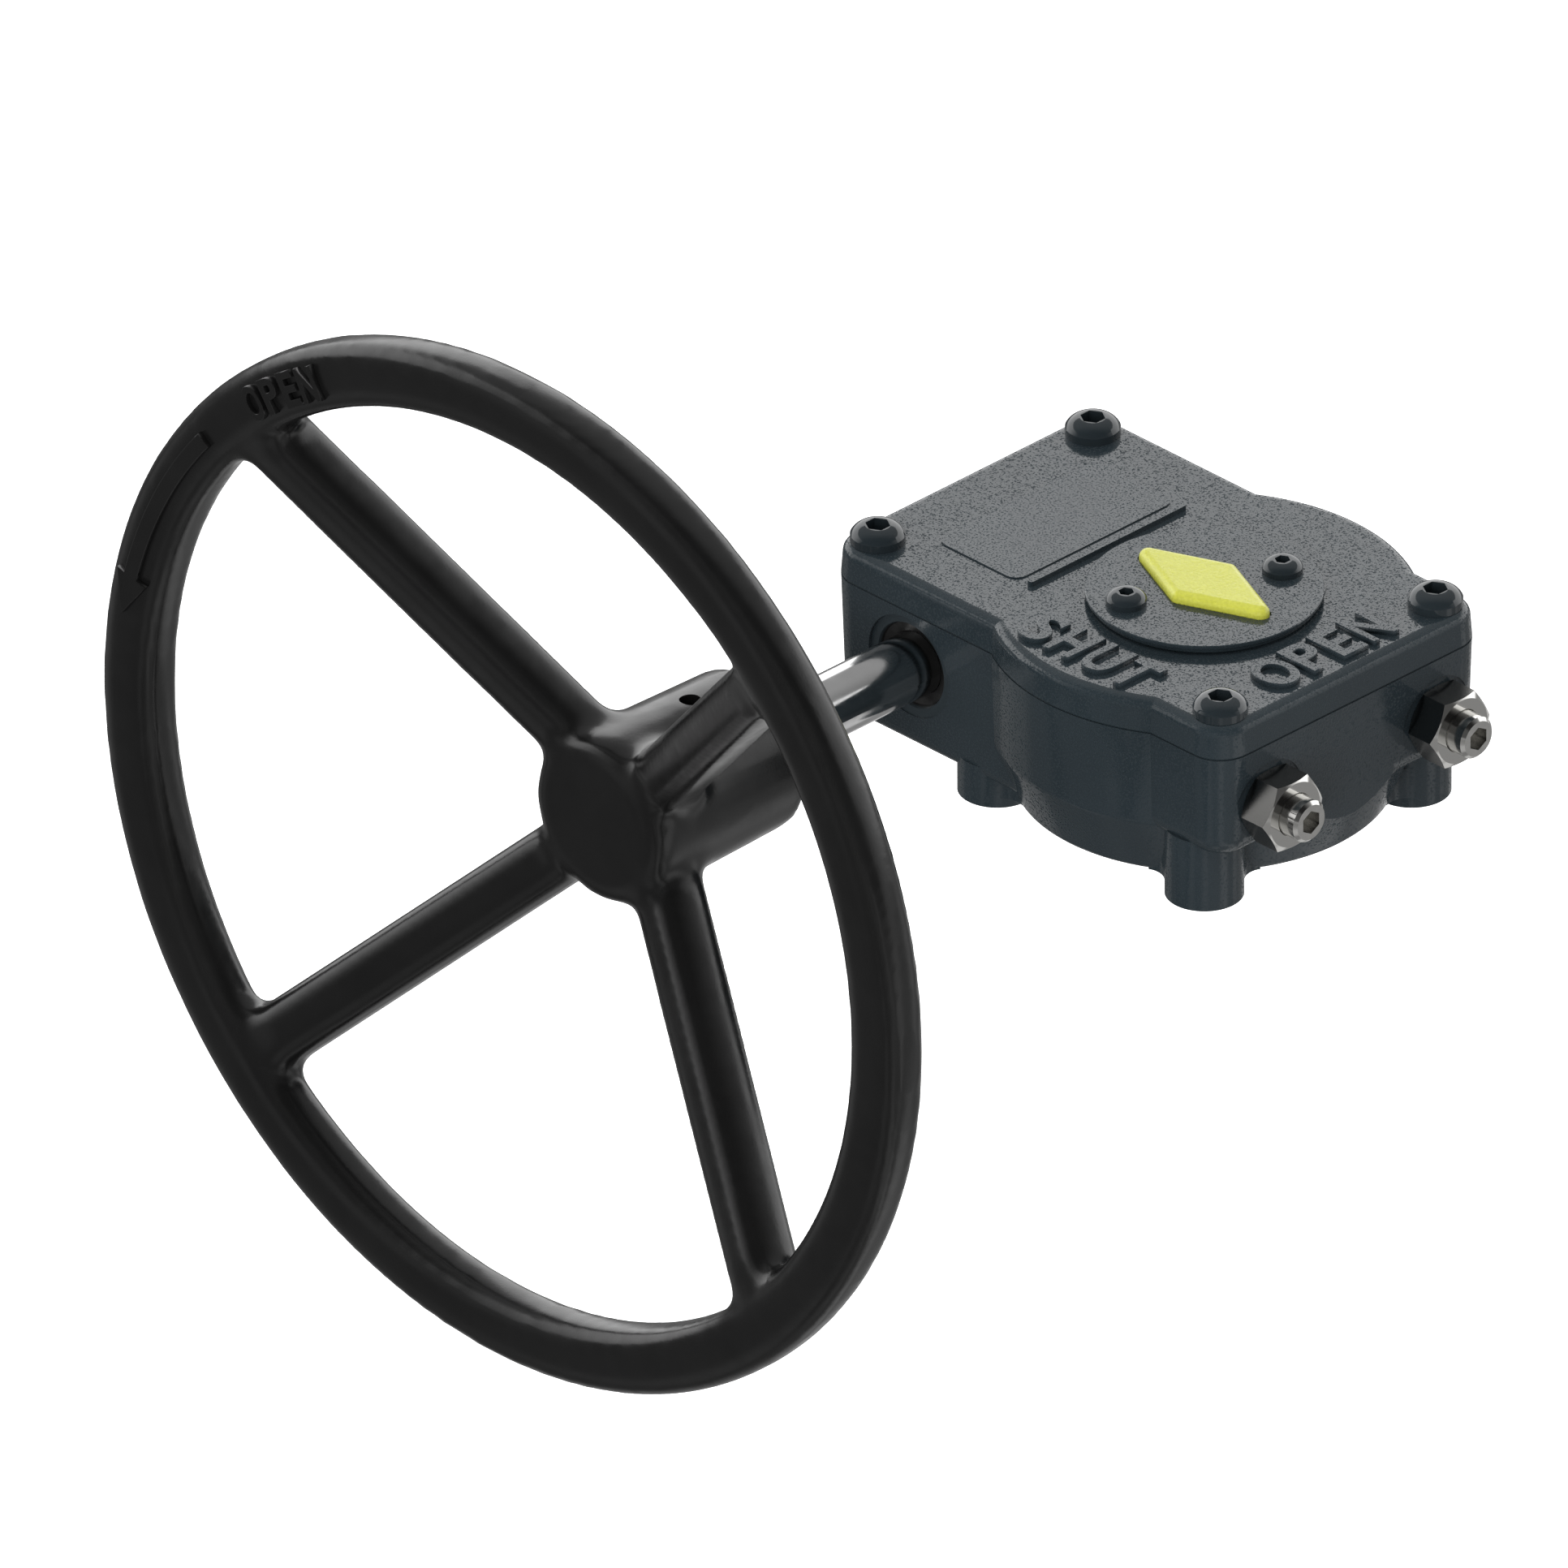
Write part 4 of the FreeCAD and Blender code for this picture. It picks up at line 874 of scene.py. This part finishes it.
class VALVEGEAR_OT_stage(GearOperator, Operator):
    """Sets up the floor, the studio light and the camera"""

    bl_idname = "valvegear.stage"
    bl_label = "Stage"

    def execute(self, context):
        values = context.scene.valvegear_stage
        scene = context.scene
        scene.view_settings.view_transform = "Standard"
        self.floor(tuple(values.backdrop))
        self.studio(scene, tuple(values.backdrop))
        self.panels(scene)
        self.camera(scene, values)
        return {"FINISHED"}

    def floor(self, colour):
        """A plain pale floor under the wheel that lights nothing and takes no shadow."""
        deselect_all()
        bpy.ops.mesh.primitive_plane_add(size=FLOOR_SIZE, location=(0, 0, CAD_LOW.z - FLOOR_GAP))
        floor = bpy.context.object
        bpy.ops.object.transform_apply(location=True)
        floor.name = "floor"
        # Seamless white paper, lit so that it is as bright as the backdrop behind it.
        material = bpy.data.materials.new("pale_floor")
        material.use_nodes = True
        shader = material.node_tree.nodes["Principled BSDF"]
        shader.inputs["Base Color"].default_value = (*colour, 1)
        shader.inputs["Roughness"].default_value = 1.0
        shader.inputs["Emission Color"].default_value = (*colour, 1)
        shader.inputs["Emission Strength"].default_value = 1.0
        wear(material, floor)
        floor.visible_glossy = False
        floor.visible_diffuse = False
        floor.visible_shadow = False

    def studio(self, scene, colour):
        """A pale studio: a wide bright band round the horizon, a darker ceiling and a dark floor
        in the reflections, and pure backdrop colour where the camera sees past the object."""
        world = bpy.data.worlds.new("studio")
        scene.world = world
        world.use_nodes = True
        tree = world.node_tree
        tree.nodes.clear()
        place = add_node(tree, "ShaderNodeTexCoord").outputs["Generated"]
        rise = add_node(tree, "ShaderNodeSeparateXYZ", None, {"Vector": place}).outputs["Z"]
        away = add_node(
            tree, "ShaderNodeVectorMath", {"operation": "DOT_PRODUCT"}, {0: place, 1: (-0.707, 0.707, 0)}
        )
        right = add_node(
            tree, "ShaderNodeVectorMath", {"operation": "DOT_PRODUCT"}, {0: place, 1: (0.707, 0.707, 0)}
        )
        patches = add_node(
            tree, "ShaderNodeTexNoise", None, {"Vector": place, "Scale": 2.2, "Detail": 0.0}
        )
        # Each is the value it reads, where it starts and ends, and what it is there.
        ramps = {
            "wall": (away.outputs["Value"], -0.45, 0.4, 0.1, 2.15),
            "ceiling": (rise, 0.515, 0.57, 1.0, 0.2),
            "floor": (right.outputs["Value"], -0.5, 0.5, 0.2, 0.54),
            "patches": (patches.outputs["Fac"], 0.4, 0.6, 0.6, 1.4),
            "above": (rise, -0.03, 0.05, 0.0, 1.0),
        }
        for name, (value, start, end, first, last) in ramps.items():
            ramps[name] = add_node(
                tree,
                "ShaderNodeMapRange",
                {"interpolation_type": "SMOOTHSTEP"},
                {"Value": value, "From Min": start, "From Max": end, "To Min": first, "To Max": last},
            ).outputs["Result"]
        upper, lower = (
            add_node(tree, "ShaderNodeMath", {"operation": "MULTIPLY"}, {0: ramps[a], 1: ramps[b]})
            for a, b in (("wall", "ceiling"), ("floor", "patches"))
        )
        strength = add_node(
            tree,
            "ShaderNodeMix",
            {"data_type": "FLOAT"},
            {0: ramps["above"], 2: lower.outputs[0], 3: upper.outputs[0]},
        )
        white = (1.0, 1.0, 1.0)
        sky = add_node(
            tree, "ShaderNodeBackground", None, {"Color": white, "Strength": strength.outputs[0]}
        )
        plain = add_node(tree, "ShaderNodeBackground", None, {"Color": colour, "Strength": 1.0})
        seen = add_node(tree, "ShaderNodeLightPath").outputs["Is Camera Ray"]
        mixed = add_node(
            tree, "ShaderNodeMixShader", None, {0: seen, 1: sky.outputs[0], 2: plain.outputs[0]}
        )
        add_node(tree, "ShaderNodeOutputWorld", None, {"Surface": mixed.outputs[0]})

    def panels(self, scene):
        """The soft panels, turned to the object."""
        for name, place, power in PANELS:
            light = bpy.data.lights.new(name, "AREA")
            light.size = PANEL_SIZE
            light.energy = power
            panel = bpy.data.objects.new(name, light)
            scene.collection.objects.link(panel)
            panel.visible_glossy = False
            panel.location = place
            panel.rotation_euler = (-panel.location).to_track_quat("-Z", "Y").to_euler()

    def camera(self, scene, values):
        """A long lens seen as parallel, as the photograph is."""
        data = bpy.data.cameras.new("camera")
        data.type = "ORTHO"
        data.ortho_scale = values.width
        data.clip_start = 0.01
        data.clip_end = 20
        camera = bpy.data.objects.new("camera", data)
        scene.collection.objects.link(camera)
        level = math.cos(values.elevation)
        back = Vector(
            (
                math.sin(values.azimuth) * level,
                -math.cos(values.azimuth) * level,
                math.sin(values.elevation),
            )
        )
        camera.location = VIEW_CENTRE + back * CAMERA_DISTANCE
        camera.rotation_euler = (-back).to_track_quat("-Z", "Y").to_euler()
        scene.camera = camera


class VALVEGEAR_PT_pieces(Panel):
    """Shows every setting, and a button for each piece"""

    bl_idname = "VALVEGEAR_PT_pieces"
    bl_label = "Valve gear operator"
    bl_space_type = "VIEW_3D"
    bl_region_type = "UI"
    bl_category = "Valve gear"

    def draw(self, context):
        column = self.layout.column()
        for name, group in SETTINGS:
            settings = getattr(context.scene, name)
            for value in group.__annotations__:
                column.prop(settings, value)
        for operator in OPERATORS:
            column.operator(operator.bl_idname)


SETTINGS = (
    ("valvegear_casting", CastingSettings),
    ("valvegear_wheel", WheelSettings),
    ("valvegear_lettering", LetteringSettings),
    ("valvegear_fittings", FittingSettings),
    ("valvegear_stage", StageSettings),
)
OPERATORS = (
    VALVEGEAR_OT_stage,
    VALVEGEAR_OT_castings,
    VALVEGEAR_OT_nameplate,
    VALVEGEAR_OT_screws,
    VALVEGEAR_OT_handwheel,
    VALVEGEAR_OT_rim_words,
    VALVEGEAR_OT_cover_words,
    VALVEGEAR_OT_pointer,
    VALVEGEAR_OT_stops,
    VALVEGEAR_OT_shaft,
    VALVEGEAR_OT_gears,
    VALVEGEAR_OT_seals,
)


def register():
    for name, group in SETTINGS:
        bpy.utils.register_class(group)
        setattr(bpy.types.Scene, name, PointerProperty(type=group))
    for made in OPERATORS:
        bpy.utils.register_class(made)
    bpy.utils.register_class(VALVEGEAR_PT_pieces)


def unregister():
    bpy.utils.unregister_class(VALVEGEAR_PT_pieces)
    for made in reversed(OPERATORS):
        bpy.utils.unregister_class(made)
    for name, group in reversed(SETTINGS):
        delattr(bpy.types.Scene, name)
        bpy.utils.unregister_class(group)


def main():
    """Makes every piece and the stage."""
    register()
    for made in OPERATORS:
        group, name = made.bl_idname.split(".")
        getattr(getattr(bpy.ops, group), name)()


if __name__ == "__main__":
    main()
